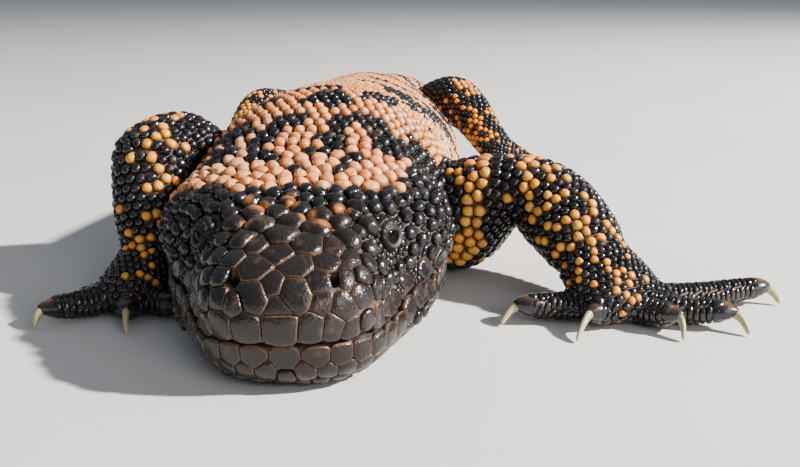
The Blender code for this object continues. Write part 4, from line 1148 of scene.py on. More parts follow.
def outline(seeds, normals, spokes, power):
    # how far each bead reaches along each spoke: a soft least of the planes shared with its neighbours
    along, across, shape = metric(seeds, normals)
    near = neighbours(seeds["place"], 18)
    d = seeds["place"][near] - seeds["place"][:, None]
    flat = d - (d * normals[:, None]).sum(axis=2)[:, :, None] * normals[:, None]
    # on a curved form two tangent planes meet at |d| / 2cos(t/2), t the angle between their normals
    half = np.sqrt(np.maximum(1 + (normals[:, None] * normals[near]).sum(axis=2), 0.1) / 2)
    flat *= (np.linalg.norm(d, axis=2) / half / np.maximum(np.linalg.norm(flat, axis=2), 1e-3))[:, :, None]
    both = 0.5 * (shape[:, None] + shape[near])
    pull = np.einsum("nkij,nkj->nki", both, flat)
    share = seeds["size"][:, None] / (seeds["size"][:, None] + seeds["size"][near])
    reach = share * (pull * flat).sum(axis=2)
    angle = np.linspace(0, 2 * np.pi, spokes, endpoint=False) + 0.2
    rays = along[:, None] * np.sin(angle)[None, :, None] + across[:, None] * np.cos(angle)[None, :, None]
    facing = np.einsum("nki,nsi->nsk", pull, rays)
    plane = np.where(facing > 1e-4, reach[:, None] / np.maximum(facing, 1e-4), 1e3)
    away = np.sort(np.linalg.norm(d, axis=2), axis=1)[:, 1:6].mean(axis=1)
    cap = np.where(seeds["kind"] == 0, 0.60, 0.62) * np.maximum(away, seeds["size"] * 0.85)
    cap = np.where((seeds["kind"] == 1) | (seeds["kind"] == 3), 1.5 * seeds["size"], cap)
    own = np.sqrt(np.einsum("nsi,nij,nsj->ns", rays, shape, rays))
    inverse = (np.clip(plane, 0.2, 1e3) ** -power[:, None, None]).sum(axis=2)
    inverse = inverse + (cap[:, None] / own) ** -power[:, None]
    radius = inverse ** (-1 / power[:, None])
    return np.maximum(radius - coat["gap"] * 0.5, 0.22), rays


def beadShells(seeds, normals, radius, rays, fractions):
    # each bead: a top point, rings out to its rim, and a skirt sunk in the skin. A ring at share f
    # of the way out is rise * (1 - f^square)^(1/square) high and is moved by f^2 of what brings the
    # rim down on the form.
    place = seeds["place"][:, None]
    rise, square = (seeds["rise"] * seeds["size"])[:, None], seeds["square"][:, None]
    flat = place + rays * radius[:, :, None]
    rim, lean = snapped(flat.reshape(-1, 3))
    drop, lean = rim.reshape(flat.shape) - flat, lean.reshape(flat.shape)

    def ring(f, reach, height):
        away = normals[:, None] * (1 - f) + lean * f
        return place + rays * (radius * reach)[:, :, None] + drop * f**2 + unit(away) * height[:, :, None]

    points = [place + (normals * rise)[:, None]]
    points += [ring(f, f, rise * (1 - f**square) ** (1 / square)) for f in fractions]
    points.append(ring(1, 0.97, np.full_like(rise, -0.75)))
    shells = np.concatenate(points, axis=1)
    shells[:, :, 2] = np.maximum(shells[:, :, 2], 0.02)
    return shells, np.concatenate([[0.0], np.repeat([*fractions, 1.0], radius.shape[1])])


def shellFaces(spokes, rings):
    # one bead's faces: a fan, bands of quads out to the skirt, and one face closing it below
    here = np.arange(spokes)
    after = (here + 1) % spokes
    fan = np.stack([np.zeros(spokes, int), 1 + here, 1 + after], axis=1)
    bands = gridLoops(rings, spokes)[:, [0, 3, 2, 1]] + 1
    last = 1 + (rings - 1) * spokes + here[::-1]
    loops = np.concatenate([fan.ravel(), bands.ravel(), last])
    sizes = np.concatenate([np.full(len(fan), 3), np.full(len(bands), 4), [spokes]])
    return loops, sizes


# places on a piece's map for each kind of length: left, low, width and height
unwrapBoxes = {
    "limb": (0.01, 0.01, 0.98, 0.58), "pad": (0.01, 0.62, 0.98, 0.14), "toe": (0.01, 0.79, 0.17, 0.19),
    "head": (0.01, 0.01, 0.98, 0.47), "jaw": (0.01, 0.52, 0.98, 0.46), "trunk": (0.01, 0.01, 0.98, 0.98),
    "toeStep": 0.2, "patch": 0.003,
}


def unwrapOf(part, a, b):
    # each length of the chart has its own rectangle on the piece's map, b across and a along
    u, v = np.zeros(len(part)), np.zeros(len(part))
    for i in np.unique(part):
        here, name, along = part == i, chart[i]["name"], chart[i]["a"]
        left, low, width, height = unwrapBoxes[name.rstrip("01234")]
        if name.startswith("toe"):
            left += unwrapBoxes["toeStep"] * int(name[-1])
        start, end = (a.min(), a.max() + 1e-6) if name == "trunk" else (along[0], along[-1])
        u[here] = left + width * b[here]
        v[here] = low + height * (a[here] - start) / (end - start)
    return u, v


def crownSpot(points):
    # the share of orange at places on the crown: 1.9 - distance / radius, of the nearest spot, from 0 to 0.95
    share = np.zeros(points.shape[:2])
    for x, y, z, radius in coat["crownSpots"]:
        away = np.linalg.norm(points - [x, y, z + 0.8], axis=2)
        share = np.maximum(share, np.clip(1.9 - away / radius, 0, 0.95))
    ragged = np.clip(2.2 * noiseAt(points, 0.9, 52) - 0.2, 0.25, 1)
    return share * ragged


def lumpy(shells, place, normals, amount):
    # dents and bulges on beads, as wide as a third of a bead and none at their rims
    off = shells - place[:, None]
    height = (off * normals[:, None]).sum(axis=2)
    top = np.clip(height / np.maximum(height.max(axis=1, keepdims=True), 1e-3), 0, 1)
    bulge = (noiseAt(shells, 0.85, 51) - 0.5) * amount[:, None] * top
    return shells + normals[:, None] * bulge[:, :, None]


def beadColours(name, which, points, share, isPlate):
    # colour and roughness of each point: the bead's own, orange spots on the crown, a seam colour round
    # plates, and painted shade darkening the rims of other beads
    colour = np.ones((*points.shape[:2], 4))
    colour[:, :, :3] = beadColour[which][:, None]
    colour[:, :, 3] = beadRough[which][:, None]
    if name == "coatHead":
        spot = crownSpot(points)[:, :, None]
        colour[:, :, :3] = colour[:, :, :3] * (1 - spot) + spot * np.array(colours["crownOrange"])
    if isPlate:
        # pale seams round the flat plates of the snout and dark ones round the domed plates
        flat = np.clip((seeds["square"][which] - 2.1) / 0.7, 0, 1)
        flat = (flat * np.clip((28 - seeds["place"][which][:, 1]) / 8, 0.25, 1))[:, None, None]
        edge = np.array(colours["plateRim"]) * flat + np.array(colours["domeRim"]) * (1 - flat)
        rim = np.clip((share - 0.93) / 0.07, 0, 1)[None, :, None]
        colour[:, :, :3] = colour[:, :, :3] * (1 - rim) + rim * edge
    else:
        # painted shade: a round bead darkens towards its rim, to 0.55 of its colour if black and 0.34 if pale
        rim = np.clip((share - 0.72) / 0.28, 0, 1)[None, :, None]
        rimShade = np.where(beadDark[which], 0.55, 0.34)[:, None, None]
        colour[:, :, :3] *= 1 - rim * (1 - rimShade)
    return colour


def coatPiece(name, chosen, shells, material):
    # joins the beads of one piece in one mesh with their colours and their places on the unwrap
    base = 0
    pointSets, loopSets, sizeSets, colourSets, uvSets = [], [], [], [], []
    for shell in shells:
        here = chosen[shell["index"]]
        if not here.any():
            continue
        points, which = shell["points"][here], shell["index"][here]
        share, spokes = shell["share"], shell["spokes"]
        count, size = points.shape[:2]
        rings = (size - 1) // spokes
        loops, sizes = shellFaces(spokes, rings)
        pointSets.append(points.reshape(-1, 3))
        loopSets.append((loops[None] + base + (np.arange(count) * size)[:, None]).ravel())
        sizeSets.append(np.tile(sizes, count))
        colourSets.append(beadColours(name, which, points, share, shell["isPlate"]).reshape(-1, 4))
        # each bead's patch is a small disc round its root's place on the map
        angle = np.tile(np.arange(spokes) / spokes * 2 * np.pi, rings)
        local = np.zeros((size, 2))
        disc = np.stack([np.cos(angle), np.sin(angle)], axis=1)
        local[1:] = share[1:, None] * (0.5 * unwrapBoxes["patch"]) * disc
        uv = np.stack(unwrapOf(seedPart[which], seedA[which], seedB[which]), axis=1)[:, None] + local[None]
        uvSets.append(uv[:, loops].reshape(-1, 2))
        base += count * size
    sizes = np.concatenate(sizeSets)
    starts = np.concatenate([[0], np.cumsum(sizes)[:-1]])
    mesh = meshFrom(name, np.vstack(pointSets), np.concatenate(loopSets), starts)
    paint(mesh, "beadColour", np.vstack(colourSets))
    unwrap = mesh.uv_layers.new(name="OFBake")
    unwrap.data.foreach_set("uv", np.vstack(uvSets).astype(np.float32).ravel())
    addPiece(name, mesh, material)
    print(f"{name} {chosen.sum()} beads, {int((sizes - 2).sum())} triangles")


class Sock:
    # wraps a shader socket so that an expression on it adds Math nodes
    def __init__(self, tree, socket):
        self.tree, self.socket = tree, socket

    def math(self, operation, *values):
        return node(self.tree, "ShaderNodeMath", {"operation": operation}, dict(enumerate(values)))

    def __add__(self, other):
        return self.math("ADD", self, other)

    def __sub__(self, other):
        return self.math("SUBTRACT", self, other)

    def __rsub__(self, other):
        return self.math("SUBTRACT", other, self)

    def __mul__(self, other):
        return self.math("MULTIPLY", self, other)

    def power(self, other):
        return self.math("POWER", self, other)

    __radd__, __rmul__ = __add__, __mul__


def node(tree, kind, settings=None, values=None, output=0):
    # adds a node, sets its settings, then the values or links of its sockets
    made = tree.nodes.new(kind)
    for name, value in (settings or {}).items():
        if name == "stops":
            ramp = made.color_ramp
            while len(ramp.elements) < len(value):
                ramp.elements.new(0.5)
            for element, (place, colour) in zip(ramp.elements, value):
                element.position, element.color = place, (*colour, 1)
        else:
            setattr(made, name, value)
    for name, value in (values or {}).items():
        if isinstance(value, Sock):
            tree.links.new(value.socket, made.inputs[name])
        else:
            made.inputs[name].default_value = value
    return Sock(tree, made.outputs[output])


def mixed(tree, share, first, second, blend="MIX"):
    made = tree.nodes.new("ShaderNodeMix")
    made.data_type, made.blend_type = "RGBA", blend
    for at, value in ((0, share), (6, first), (7, second)):
        if isinstance(value, Sock):
            tree.links.new(value.socket, made.inputs[at])
        else:
            made.inputs[at].default_value = (*value, 1) if at and len(value) == 3 else value
    return Sock(tree, made.outputs[2])


def newMaterial(name, **fixed):
    material = bpy.data.materials.new(name)
    material.use_nodes = True
    tree = material.node_tree
    shader = tree.nodes["Principled BSDF"]
    for key, value in fixed.items():
        shader.inputs[key.replace("_", " ")].default_value = value
    place = node(tree, "ShaderNodeTexCoord", output="Object")
    return material, tree, shader, place


def joinTo(tree, shader, **links):
    for key, value in links.items():
        tree.links.new(value.socket, shader.inputs[key.replace("_", " ")])


def noiseNode(tree, place, scale, detail=3.0, rough=0.55):
    return node(tree, "ShaderNodeTexNoise", {}, {"Vector": place, "Scale": scale, "Detail": detail,
                                                 "Roughness": rough})


def toned(tree, colour, noise, low, high):
    # multiplies a colour by a grey that follows a noise; low and high are a place on the ramp and its grey
    stops = [(at, (grey,) * 3) for at, grey in (low, high)]
    ramp = node(tree, "ShaderNodeValToRGB", {"stops": stops}, {"Fac": noise})
    return mixed(tree, 1.0, colour, ramp, "MULTIPLY")


def ownColour(tree, name):
    return node(tree, "ShaderNodeVertexColor", {"layer_name": name})


# horn of the scales: grain to the metre, share of dust and its colour, depth of the bump, lumps and gloss
horns = {
    "headHorn": {"grain": 1400.0, "dust": 0.30, "dustColour": (0.16, 0.10, 0.07), "bump": 0.65, "wear": 1.1,
                 "shine": 0.42},
    "backHorn": {"grain": 1500.0, "dust": 0.20, "dustColour": (0.42, 0.26, 0.17), "bump": 0.45, "wear": 0.7,
                 "shine": 0.5},
    "limbHorn": {"grain": 1700.0, "dust": 0.16, "dustColour": (0.34, 0.22, 0.17), "bump": 0.40, "wear": 0.5,
                 "shine": 0.5},
    "lidHide": {"grain": 1800.0, "dust": 0.1, "dustColour": (0.2, 0.14, 0.1), "bump": 0.5, "wear": 0.0,
                "shine": 0.18},
    "capHorn": {"grain": 1500.0, "dust": 0.2, "dustColour": (0.32, 0.2, 0.12), "bump": 0.3, "wear": 0.0,
                "shine": 0.5},
}


def beadMaterial(name):
    # horn: its own colour, patches of dust, a fine granular surface with pits, and low lumps
    horn = horns[name]
    material, tree, shader, place = newMaterial(name, IOR=1.5, Specular_IOR_Level=horn["shine"])
    own = ownColour(tree, "beadColour")
    alpha = Sock(tree, own.socket.node.outputs["Alpha"])
    fine = noiseNode(tree, place, horn["grain"])
    broad = noiseNode(tree, place, 260.0, 4.0)
    colour = toned(tree, own, fine, (0.25, 0.72), (0.75, 1.16))
    spots = node(tree, "ShaderNodeMapRange", {}, {"Value": broad, "From Min": 0.56, "From Max": 0.74,
                                                  "To Min": 0.0, "To Max": horn["dust"]})
    colour = mixed(tree, spots, colour, horn["dustColour"])
    pits = node(tree, "ShaderNodeTexVoronoi", {"feature": "F1"},
                {"Vector": place, "Scale": horn["grain"] * 1.3})
    lumps = noiseNode(tree, place, horn["grain"] * 0.42, 2.0)
    height = fine * 0.5 + pits * 0.4 + lumps * horn["wear"]
    rise = node(tree, "ShaderNodeBump", {}, {"Height": height, "Strength": horn["bump"], "Distance": 0.00022})
    rough = alpha + (fine - 0.5) * 0.3 + spots * 0.3
    joinTo(tree, shader, Base_Color=colour, Roughness=rough, Normal=rise)
    return material


def skinMaterial():
    # soft hide between the beads: its own colour, fine wrinkles and paler blotches
    material, tree, shader, place = newMaterial("hide", IOR=1.42, Specular_IOR_Level=0.35)
    fine = noiseNode(tree, place, 1500.0, 4.0)
    colour = toned(tree, ownColour(tree, "hideColour"), noiseNode(tree, place, 240.0), (0.2, 0.6), (0.8, 1.3))
    creases = node(tree, "ShaderNodeTexVoronoi", {"feature": "DISTANCE_TO_EDGE"},
                   {"Vector": place, "Scale": 1100.0})
    rise = node(tree, "ShaderNodeBump", {}, {"Height": fine * 0.5 + creases * 0.6, "Strength": 0.6,
                                             "Distance": 0.0002})
    joinTo(tree, shader, Base_Color=colour, Roughness=fine * 0.3 + 0.5, Normal=rise)
    return material


def clawMaterial():
    # horn, ivory with a browner root, streaked
    material, tree, shader, place = newMaterial("clawHorn", IOR=1.54, Specular_IOR_Level=0.5)
    streak = noiseNode(tree, place, 900.0, 4.0)
    colour = toned(tree, ownColour(tree, "clawColour"), streak, (0.2, 0.7), (0.8, 1.15))
    rise = node(tree, "ShaderNodeBump", {}, {"Height": streak, "Strength": 0.35, "Distance": 0.0001})
    joinTo(tree, shader, Base_Color=colour, Roughness=streak * 0.25 + 0.22, Normal=rise)
    return material


def eyeMaterial():
    # dark brown iris round a black pupil, under a thin wet coat
    material, tree, shader, place = newMaterial("eyeball", Roughness=0.06, IOR=1.4, Specular_IOR_Level=0.08,
                                                Coat_Weight=0.06, Coat_Roughness=0.03)
    fleck = noiseNode(tree, place, 2600.0, 3.0)
    colour = toned(tree, ownColour(tree, "eyeColour"), fleck, (0.3, 0.5), (0.7, 1.5))
    joinTo(tree, shader, Base_Color=colour)
    return material


def floorMaterial():
    material, tree, shader, place = newMaterial("paleFloor", Specular_IOR_Level=0.3)
    cloud = noiseNode(tree, place, 6.0)
    tone = node(tree, "ShaderNodeValToRGB", {"stops": [(0.3, (0.60, 0.59, 0.57)), (0.7, (0.64, 0.63, 0.61))]},
                {"Fac": cloud})
    joinTo(tree, shader, Base_Color=tone, Roughness=cloud * 0.1 + 0.6)
    return material


def makeSkin():
    # the hide's colours follow the coat's markings; the upper lip's underside and the openings (the line of
    # the mouth, the nostrils and the ears) are dark with painted shade
    part, _, b, _ = whereOn(formPoints)
    y = formPoints[:, 1]
    dark = darkness(formPoints, part, b) & ~limbPale(formPoints, part, np.full(len(part), 0.5))
    colour = np.where(dark[:, None], colours["darkSkin"], colours["pinkSkin"])
    colour = np.where((part > 2)[:, None], colours["limbSkin"], colour)
    face = np.clip((40 - y) / 14, 0, 1)[:, None] * (part <= 1)[:, None]
    colour = colour * (1 - face) + np.array(colours["faceSkin"]) * face
    colour = np.where(np.char.startswith(chartNames[part], "toe")[:, None], colours["toeSeam"], colour)
    above = formPoints[:, 2] - mouthAt(y)
    onFace = (y < skin["mouthEnd"]) & (part <= 1)
    openingShade = (np.abs(above) < 0.7) & onFace
    for side in (-1, 1):
        openingShade |= np.linalg.norm(formPoints - nostrilPlace(side), axis=1) < 1.25
        ear = (formPoints - onHead(skin["earAt"], side)) / skin["earWidth"]
        openingShade |= np.linalg.norm(ear, axis=1) < 1
    # painted shade under the upper lip, and in the line of the mouth, the nostrils and the ears
    lip = (above > -0.6) & (above < 1.9) & (y > 12) & onFace
    colour = np.where(lip[:, None], colours["lipUnderShade"], colour)
    colour = np.where(openingShade[:, None], colours["openingShade"], colour)
    skinMesh.vertices.foreach_set("co", ((skinPoints + shift) * 0.001).astype(np.float32).ravel())
    skinMesh.polygons.foreach_set("use_smooth", np.ones(len(skinMesh.polygons), bool))
    skinMesh.update()
    paint(skinMesh, "hideColour", colour)
    obj = addPiece("skin", skinMesh, skinMaterial())
    fleshNodes = [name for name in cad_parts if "claw" not in name and not name.startswith("eye")]
    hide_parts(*fleshNodes)
    print("skin replaces", len(fleshNodes), "nodes")


# the head's plates, its beads and all other beads: spokes, and how far out each ring of points lies
beadGrids = ((24, (0.4, 0.7, 0.88, 0.96, 1.0)), (14, (0.42, 0.74, 0.93, 1.0)), (10, (0.5, 0.85, 1.0)))
# the pieces of the trunk's coat, and where each ends in mm from the snout
trunkPieces = (("coatNape", 108), ("coatTrunkFront", 165), ("coatTrunkRear", 225), ("coatRump", 284),
               ("coatTailBase", 340), ("coatTailTip", 420))


def makeShells():
    # the points of all beads, in three blocks with the same grid in each
    plate = seeds["kind"] == 1
    headBead = (seedPart <= 1) & (seeds["place"][:, 1] < 50) & (seeds["kind"] == 0)
    block = np.select([plate, headBead], [0, 1], 2)
    # a high power gives straight edges and sharp corners, a low one a round bead
    power = np.select([seeds["kind"] == 3, seedPart <= 1], [30.0, 12.0], 8.0)
    power = np.where(plate, np.interp(seeds["square"], (2.1, 3.0), (9.0, 30.0)), power)
    ghosts = ghostSeeds()
    everyNormal = np.vstack([seedNormals, surfaceAt(ghosts["place"])[1]])
    everyPower = np.concatenate([power, np.full(len(ghosts["place"]), 8.0)])
    shells = []
    for number, (spokes, fractions) in enumerate(beadGrids):
        index = np.flatnonzero(block == number)
        radius, rays = outline(gather([seeds, ghosts]), everyNormal, spokes, everyPower)
        chosen = keepSome(seeds, index)
        points, share = beadShells(chosen, seedNormals[index], radius[index], rays[index], fractions)
        if number > 0:
            amount = np.where(beadDark[index], 0.10, 0.20) * chosen["size"] * (seedPart[index] <= 2)
            points = lumpy(points, chosen["place"], seedNormals[index], amount)
        shells.append({"points": points, "share": share, "index": index, "spokes": spokes,
                       "isPlate": number == 0})
    return shells


def makeCoat():
    headHorn, backHorn, limbHorn = (beadMaterial(name) for name in ("headHorn", "backHorn", "limbHorn"))
    shells = makeShells()
    coatPiece("coatHead", seedPart <= 1, shells, headHorn)
    y, start = seeds["place"][:, 1], 0
    for name, end in trunkPieces:
        coatPiece(name, (seedPart == 2) & (y >= start) & (y < end), shells, backHorn)
        start = end
    for name in limbNames:
        coatPiece("coat" + capital(name), chartPieces[seedPart] == name, shells, limbHorn)


# lengths in mm; angles in radians from the way the eye looks
eye = {
    "ballGrid": (28, 40), "ballRadius": 3.22, "bulge": 0.22, "bulgeSpread": 0.42,
    "pupil": 0.30, "pupilColour": (0.002, 0.002, 0.002),
    "iris": 0.62, "irisColour": (0.008, 0.0036, 0.0022), "outerColour": (0.012, 0.006, 0.004),
    "halfWidth": 1.7, "halfHeight": 1.5, "upperEdge": 0.95,
    "lidGrid": (36, 90), "lidRadius": 3.40, "lidInside": 3.24, "lidEnd": 1.62, "lidThickness": 0.42,
    "grainRings": (0.80, 1.10, 1.38), "grainShell": 3.7, "grainSpacing": 1.12, "grainRadius": 0.58,
    # the second colour on the next line is a painted highlight on the lid's crest
    "grainRise": 0.30, "lidColour": (0.008, 0.007, 0.007), "crestHighlightColour": (0.050, 0.053, 0.058),
    "creaseColour": (0.02, 0.013, 0.01), "insideColour": (0.008, 0.006, 0.006), "lidRoughness": 0.42,
}


def sphereWays(polar, turn, across, up, axis):
    # sin(polar) * (cos(turn) across + sin(turn) up) + cos(polar) axis
    flat = (np.sin(polar) * np.cos(turn))[:, :, None] * across
    flat = flat + (np.sin(polar) * np.sin(turn))[:, :, None] * up
    return flat + np.cos(polar)[:, :, None] * axis


def makeEyeball(side, name, material):
    # a sphere whose pole is the pupil: radius + bulge * exp(-(polar / spread)^2)
    place, axis, across, up = eyeFrame(side)
    rows, columns = eye["ballGrid"]
    polar = np.linspace(0.02, np.pi - 0.02, rows)[:, None]
    turn = np.linspace(0, 2 * np.pi, columns, endpoint=False)[None, :]
    radius = eye["ballRadius"] + eye["bulge"] * np.exp(-((polar / eye["bulgeSpread"]) ** 2))
    points, quads, ends = closedLoft(place + radius[:, :, None] * sphereWays(polar, turn, across, up, axis))
    mesh = meshFrom("eyeball" + name, points, *loopsOf([quads, ends]))
    fixNormals(mesh)
    away = np.concatenate([np.repeat(polar[:, 0], columns), [0, np.pi]])[:, None]
    colour = np.where(away < eye["pupil"], eye["pupilColour"], eye["irisColour"])
    paint(mesh, "eyeColour", np.where(away > eye["iris"], eye["outerColour"], colour))
    obj = addPiece("eyeball" + name, mesh, material)
    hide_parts("eye_" + name.lower())


def makeLids(side, name, material):
    # a ridged shell round an almond opening, with grains on the upper lid
    place, axis, across, up = eyeFrame(side)
    rows, columns = eye["lidGrid"]
    turn = np.linspace(0, 2 * np.pi, columns, endpoint=False)[None, :]
    share = np.linspace(0, 1, rows)[:, None]
    # the opening: 1 / rho^6 = 1 / ellipse^6 + 1 / line^6, the line being the upper lid's low edge
    ellipse = 1 / np.sqrt((np.cos(turn) / eye["halfWidth"]) ** 2 + (np.sin(turn) / eye["halfHeight"]) ** 2)
    line = eye["upperEdge"] / np.maximum(np.sin(turn + 0.25), 0.02)
    edge = np.arcsin((ellipse**-6 + line**-6) ** (-1 / 6) / 3.5)
    polar = edge + (eye["lidEnd"] - edge) * share**1.3
    # a smooth ridge along the lower lid
    lower = 0.5 - 0.5 * np.tanh(2.5 * (np.sin(turn - 0.5) - 0.3))
    ridge = np.exp(-(((polar - edge - 0.12) / 0.12) ** 2)) * (0.12 + 0.50 * lower)
    thick = eye["lidThickness"] * np.clip((polar - edge) / 0.10, 0, 1) ** 0.6 * (1 - 0.35 * lower)
    radius = eye["lidRadius"] + thick + ridge
    # half balls in rings: how far each place is from the nearest of their middles
    way = sphereWays(polar, turn, across, up, axis)
    shell, away = eye["grainShell"], np.full(radius.shape, 9.0)
    for row, p in enumerate(eye["grainRings"]):
        count = int(2 * np.pi * shell * math.sin(p) / eye["grainSpacing"])
        for t in np.linspace(0, 2 * np.pi, count, endpoint=False) + 0.5 * row * 0.3:
            grain = math.sin(p) * (math.cos(t) * across + math.sin(t) * up) + math.cos(p) * axis
            away = np.minimum(away, shell * np.linalg.norm(way - grain, axis=2))
    clear = np.clip((polar - edge - 0.17) / 0.06, 0, 1)
    half = np.sqrt(np.clip(1 - (away / eye["grainRadius"]) ** 2, 0, 1))
    radius = radius + eye["grainRise"] * clear * half - 0.9 * np.clip((polar - 1.25) / 0.37, 0, 1)
    grid = np.vstack([place + radius[:, :, None] * way, (place + eye["lidInside"] * way)[::-1]])
    quads = np.vstack([gridLoops(len(grid), columns), closingBand(len(grid), columns)])
    mesh = meshFrom("lids" + name, grid.reshape(-1, 3), *loopsOf([quads]))
    fixNormals(mesh)
    # a painted highlight along the crest of the lower lid behind the eye, and brown hide between the grains
    behind = np.clip(0.55 + 0.6 * np.cos(turn + 0.5), 0, 1)
    crestHighlight = (np.exp(-(((polar - edge - 0.12) / 0.11) ** 2)) * lower * behind).reshape(-1, 1)
    between = (clear * np.clip((away - 0.45) / 0.15, 0, 1)).reshape(-1, 1)
    tone = np.array([eye["lidColour"]]) + crestHighlight * np.array([eye["crestHighlightColour"]])
    tone = tone + between * np.array([eye["creaseColour"]])
    tone = np.vstack([tone, np.tile(eye["insideColour"], (rows * columns, 1))])
    paint(mesh, "beadColour", np.column_stack([tone, np.full(len(tone), eye["lidRoughness"])]))
    addPiece("lids" + name, mesh, material)


def makeEyes():
    ball, lid = eyeMaterial(), beadMaterial("lidHide")
    for side, name in ((1, "Left"), (-1, "Right")):
        makeEyeball(side, name, ball)
        makeLids(side, name, lid)


def loopsOf(faceSets):
    # the run of corner indices of all faces, and where each face begins in it
    sizes = np.concatenate([np.full(len(f), f.shape[1]) for f in faceSets])
    return np.concatenate([f.ravel() for f in faceSets]), np.concatenate([[0], np.cumsum(sizes)[:-1]])


def closingBand(rows, columns):
    # quads from the last row of a grid back to its first
    here = np.arange(columns)
    after = (here + 1) % columns
    last = (rows - 1) * columns
    return np.stack([last + here, last + after, after, here], axis=1)


def fixNormals(mesh):
    shape = bmesh.new()
    shape.from_mesh(mesh)
    bmesh.ops.recalc_face_normals(shape, faces=shape.faces[:])
    shape.to_mesh(mesh)
    shape.free()


def joinedLofts(label, grids):
    # closed lofts joined in one mesh, and each loft's points
    pointSets, quadSets, endSets, base = [], [], [], 0
    for grid in grids:
        points, quads, ends = closedLoft(grid)
        pointSets.append(points)
        quadSets.append(quads + base)
        endSets.append(ends + base)
        base += len(points)
    mesh = meshFrom(label, np.vstack(pointSets), *loopsOf([np.vstack(quadSets), np.vstack(endSets)]))
    fixNormals(mesh)
    return mesh, pointSets


claw = {
    "sides": 14, "rings": 18, "setBack": 1.4, "ahead": 2.0, "pointHeight": 0.40,
    "rootRadius": 1.27, "pointRadius": 0.46, "flatness": (0.82, 1.08),
    "rootColour": (0.09, 0.055, 0.028), "middleColour": (0.34, 0.29, 0.13), "pointColour": (0.42, 0.38, 0.21),
    "rootShare": 0.35,   # where the root's colour has passed into the middle's
}


def toeWay(toe, pad, share):
    # the way a toe points near its end
    return limbDirection(toePath(toe[:3], pad), np.array([share]))[0][0]


def clawRings(toe, pad):
    # a quadratic curve from the toe's end, bent over to a point, with a radius that thins to it
    ahead, tip = toeWay(toe, pad, 0.97), np.array(toe[:3], float)
    start, end = tip - ahead * claw["setBack"], np.array([*toe[3:], claw["pointHeight"]])
    corner = tip + ahead * claw["ahead"]
    t = np.linspace(0, 1, claw["rings"])[:, None]
    middle = (1 - t) ** 2 * start + 2 * t * (1 - t) * corner + t**2 * end
    way = unit(np.gradient(middle, axis=0))
    side = unit(np.cross(way, [0, 0, 1]))
    up = np.cross(side, way)
    # thinning evenly to a blunt, rounded end
    radius = claw["rootRadius"] + (claw["pointRadius"] - claw["rootRadius"]) * t**1.1
    radius = radius * np.sqrt(1 - np.clip((t - 0.92) / 0.085, 0, 1) ** 2)
    angle = np.linspace(0, 2 * np.pi, claw["sides"], endpoint=False)
    wide, tall = claw["flatness"]
    rings = (middle[:, None] + np.cos(angle)[None, :, None] * side[:, None] * radius[:, None] * wide
             + np.sin(angle)[None, :, None] * up[:, None] * radius[:, None] * tall)
    rings[:, :, 2] = np.maximum(rings[:, :, 2], 0.03)
    return rings


def makeClaws():
    horn = clawMaterial()
    t = np.repeat(np.linspace(0, 1, claw["rings"]), claw["sides"])
    t = np.concatenate([t, [0, 1]])[:, None]
    turn = claw["rootShare"]
    t0, t1 = np.clip(t / turn, 0, 1), np.clip((t - turn) / (1 - turn), 0, 1)
    root, middle, point = (np.array(claw[key]) for key in ("rootColour", "middleColour", "pointColour"))
    colour = root * (1 - t0) + t0 * (middle * (1 - t1) + point * t1)
    for name, foot, side in zip(limbNames, ("hand", "hand", "foot", "foot"), ("left", "right") * 2):
        label = "claws" + capital(foot) + capital(side)
        mesh, _ = joinedLofts(label, [clawRings(toe, feet[name]["pad"]) for toe in feet[name]["toes"]])
        paint(mesh, "clawColour", np.tile(colour, (len(feet[name]["toes"]), 1)))
        obj = addPiece(label, mesh, horn)
        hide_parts(*[f"{foot}_{side}_claw_{k}" for k in range(1, 6)])


toeCap = {
    "grid": (16, 22), "setBack": 2.4, "across": 2.5, "above": 2.25, "ahead": 4.0, "taper": 0.17,
    # the painted highlight, brown on top of the cap: how far up and ahead it lies, its size ahead, across and
    # up
    "highlightUp": 2.2, "highlightAhead": 0.9, "highlightSize": (2.6, 1.3, 1.6), "roughness": 0.26,
}


def toeFrame(toe, pad):
    ahead = toeWay(toe, pad, 0.93)
    side = unit(np.cross(ahead, [0, 0, 1.0]))
    return np.array(toe[:3], float) - ahead * toeCap["setBack"], ahead, side, np.cross(side, ahead)


def capGrid(toe, pad):
    # an ellipsoid with low lumps, wide behind and narrow at the claw
    centre, ahead, side, up = toeFrame(toe, pad)
    rows, columns = toeCap["grid"]
    polar = np.linspace(0.03, np.pi - 0.03, rows)[:, None]
    turn = np.linspace(0, 2 * np.pi, columns, endpoint=False)[None, :]
    lump = 1 + 0.035 * np.sin(3 * turn + 1) + 0.03 * np.cos(polar * 5) - toeCap["taper"] * np.cos(polar)
    across = np.sin(polar) * np.cos(turn) * lump * toeCap["across"]
    above = np.sin(polar) * np.sin(turn) * lump * toeCap["above"]
    forward = np.cos(polar) * toeCap["ahead"] * np.ones_like(turn)
    grid = centre + across[:, :, None] * side + above[:, :, None] * up + forward[:, :, None] * ahead
    grid[:, :, 2] = np.maximum(grid[:, :, 2], 0.03)
    return grid


def capColour(points, toe, pad):
    # a painted highlight: brown by exp(-(distance from its middle)^3), black elsewhere
    centre, ahead, side, up = toeFrame(toe, pad)
    off = points - (centre + up * toeCap["highlightUp"] + ahead * toeCap["highlightAhead"])
    off = np.stack([off @ ahead, off @ side, off @ up], axis=1) / toeCap["highlightSize"]
    high = np.exp(-(np.linalg.norm(off, axis=1) ** 3)) * (0.45 + 0.8 * noiseAt(points, 1.6, 61))
    high = high[:, None]
    colour = np.array(colours["toeBlack"]) * (1 - high) + np.array(colours["toeTip"]) * high
    return np.column_stack([colour, np.full(len(points), toeCap["roughness"])])


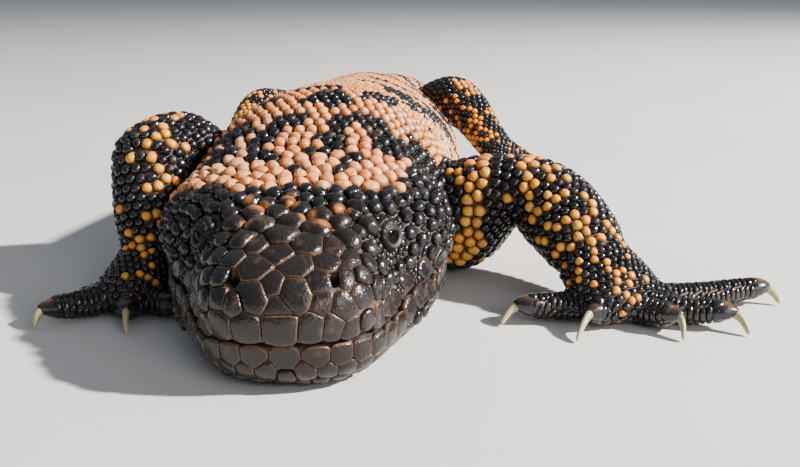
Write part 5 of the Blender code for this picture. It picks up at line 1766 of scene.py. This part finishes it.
def makeToeCaps():
    horn = beadMaterial("capHorn")
    for name in limbNames:
        pad, toes = feet[name]["pad"], feet[name]["toes"]
        label = "toeCaps" + capital(name)
        mesh, pointSets = joinedLofts(label, [capGrid(toe, pad) for toe in toes])
        looks = [capColour(points, toe, pad) for points, toe in zip(pointSets, toes)]
        paint(mesh, "beadColour", np.vstack(looks))
        addPiece(label, mesh, horn)


# metres, except the camera's place, which is in mm from the snout
stage = {
    "floorSize": 9.0, "floorHeight": -0.0001,
    "keyAt": (1.32, -0.33, 0.90), "keySize": 0.06, "keyWatts": 122.0, "keyColour": (1.0, 0.955, 0.90),
    "fillAt": (0.65, -1.0, 0.42), "fillSize": 0.6, "fillWatts": 5.5, "fillColour": (1.0, 0.95, 0.90),
    "lampsAimAt": (0, -0.1, 0.02),
    "skyColour": (0.78, 0.86, 1.0), "skyStrength": 0.36,
    "cameraAt": (17.0, -134.0, 70.5), "cameraTilt": 73.5,
    "focalPixels": 840.0, "imageWidth": 800.0, "sensor": 36.0,
}


def makeLamp(name):
    # an area lamp turned to the animal
    lamp = bpy.data.lights.new(name, "AREA")
    lamp.size, lamp.energy, lamp.color = (stage[name + key] for key in ("Size", "Watts", "Colour"))
    light = bpy.data.objects.new(name, lamp)
    light.location = stage[name + "At"]
    aim = Vector(stage["lampsAimAt"]) - light.location
    light.rotation_euler = aim.to_track_quat("-Z", "Y").to_euler()
    bpy.context.scene.collection.objects.link(light)


def makeStage():
    half, low = stage["floorSize"], stage["floorHeight"]
    mesh = bpy.data.meshes.new("floor")
    corners = [(-half, -half, low), (half, -half, low), (half, half * 2, low), (-half, half * 2, low)]
    mesh.from_pydata(corners, [], [(0, 1, 2, 3)])
    addObject("floor", mesh, floorMaterial())
    makeLamp("key")
    makeLamp("fill")
    world = bpy.data.worlds.new("paleSky")
    world.use_nodes = True
    sky = world.node_tree.nodes["Background"].inputs
    sky[0].default_value, sky[1].default_value = (*stage["skyColour"], 1), stage["skyStrength"]
    bpy.context.scene.world = world
    lens = bpy.data.cameras.new("camera")
    lens.sensor_width, lens.clip_start = stage["sensor"], 0.005
    lens.lens = stage["focalPixels"] / stage["imageWidth"] * stage["sensor"]
    camera = bpy.data.objects.new("camera", lens)
    camera.location = (np.array(stage["cameraAt"]) + shift) * 0.001
    camera.rotation_euler = (math.radians(stage["cameraTilt"]), 0, 0)
    bpy.context.scene.collection.objects.link(camera)
    bpy.context.scene.camera = camera


makeSkin()
makeCoat()
makeEyes()
makeToeCaps()
makeClaws()
makeStage()
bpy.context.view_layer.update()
print(f"scene made in {time.time() - startTime:.1f} s")
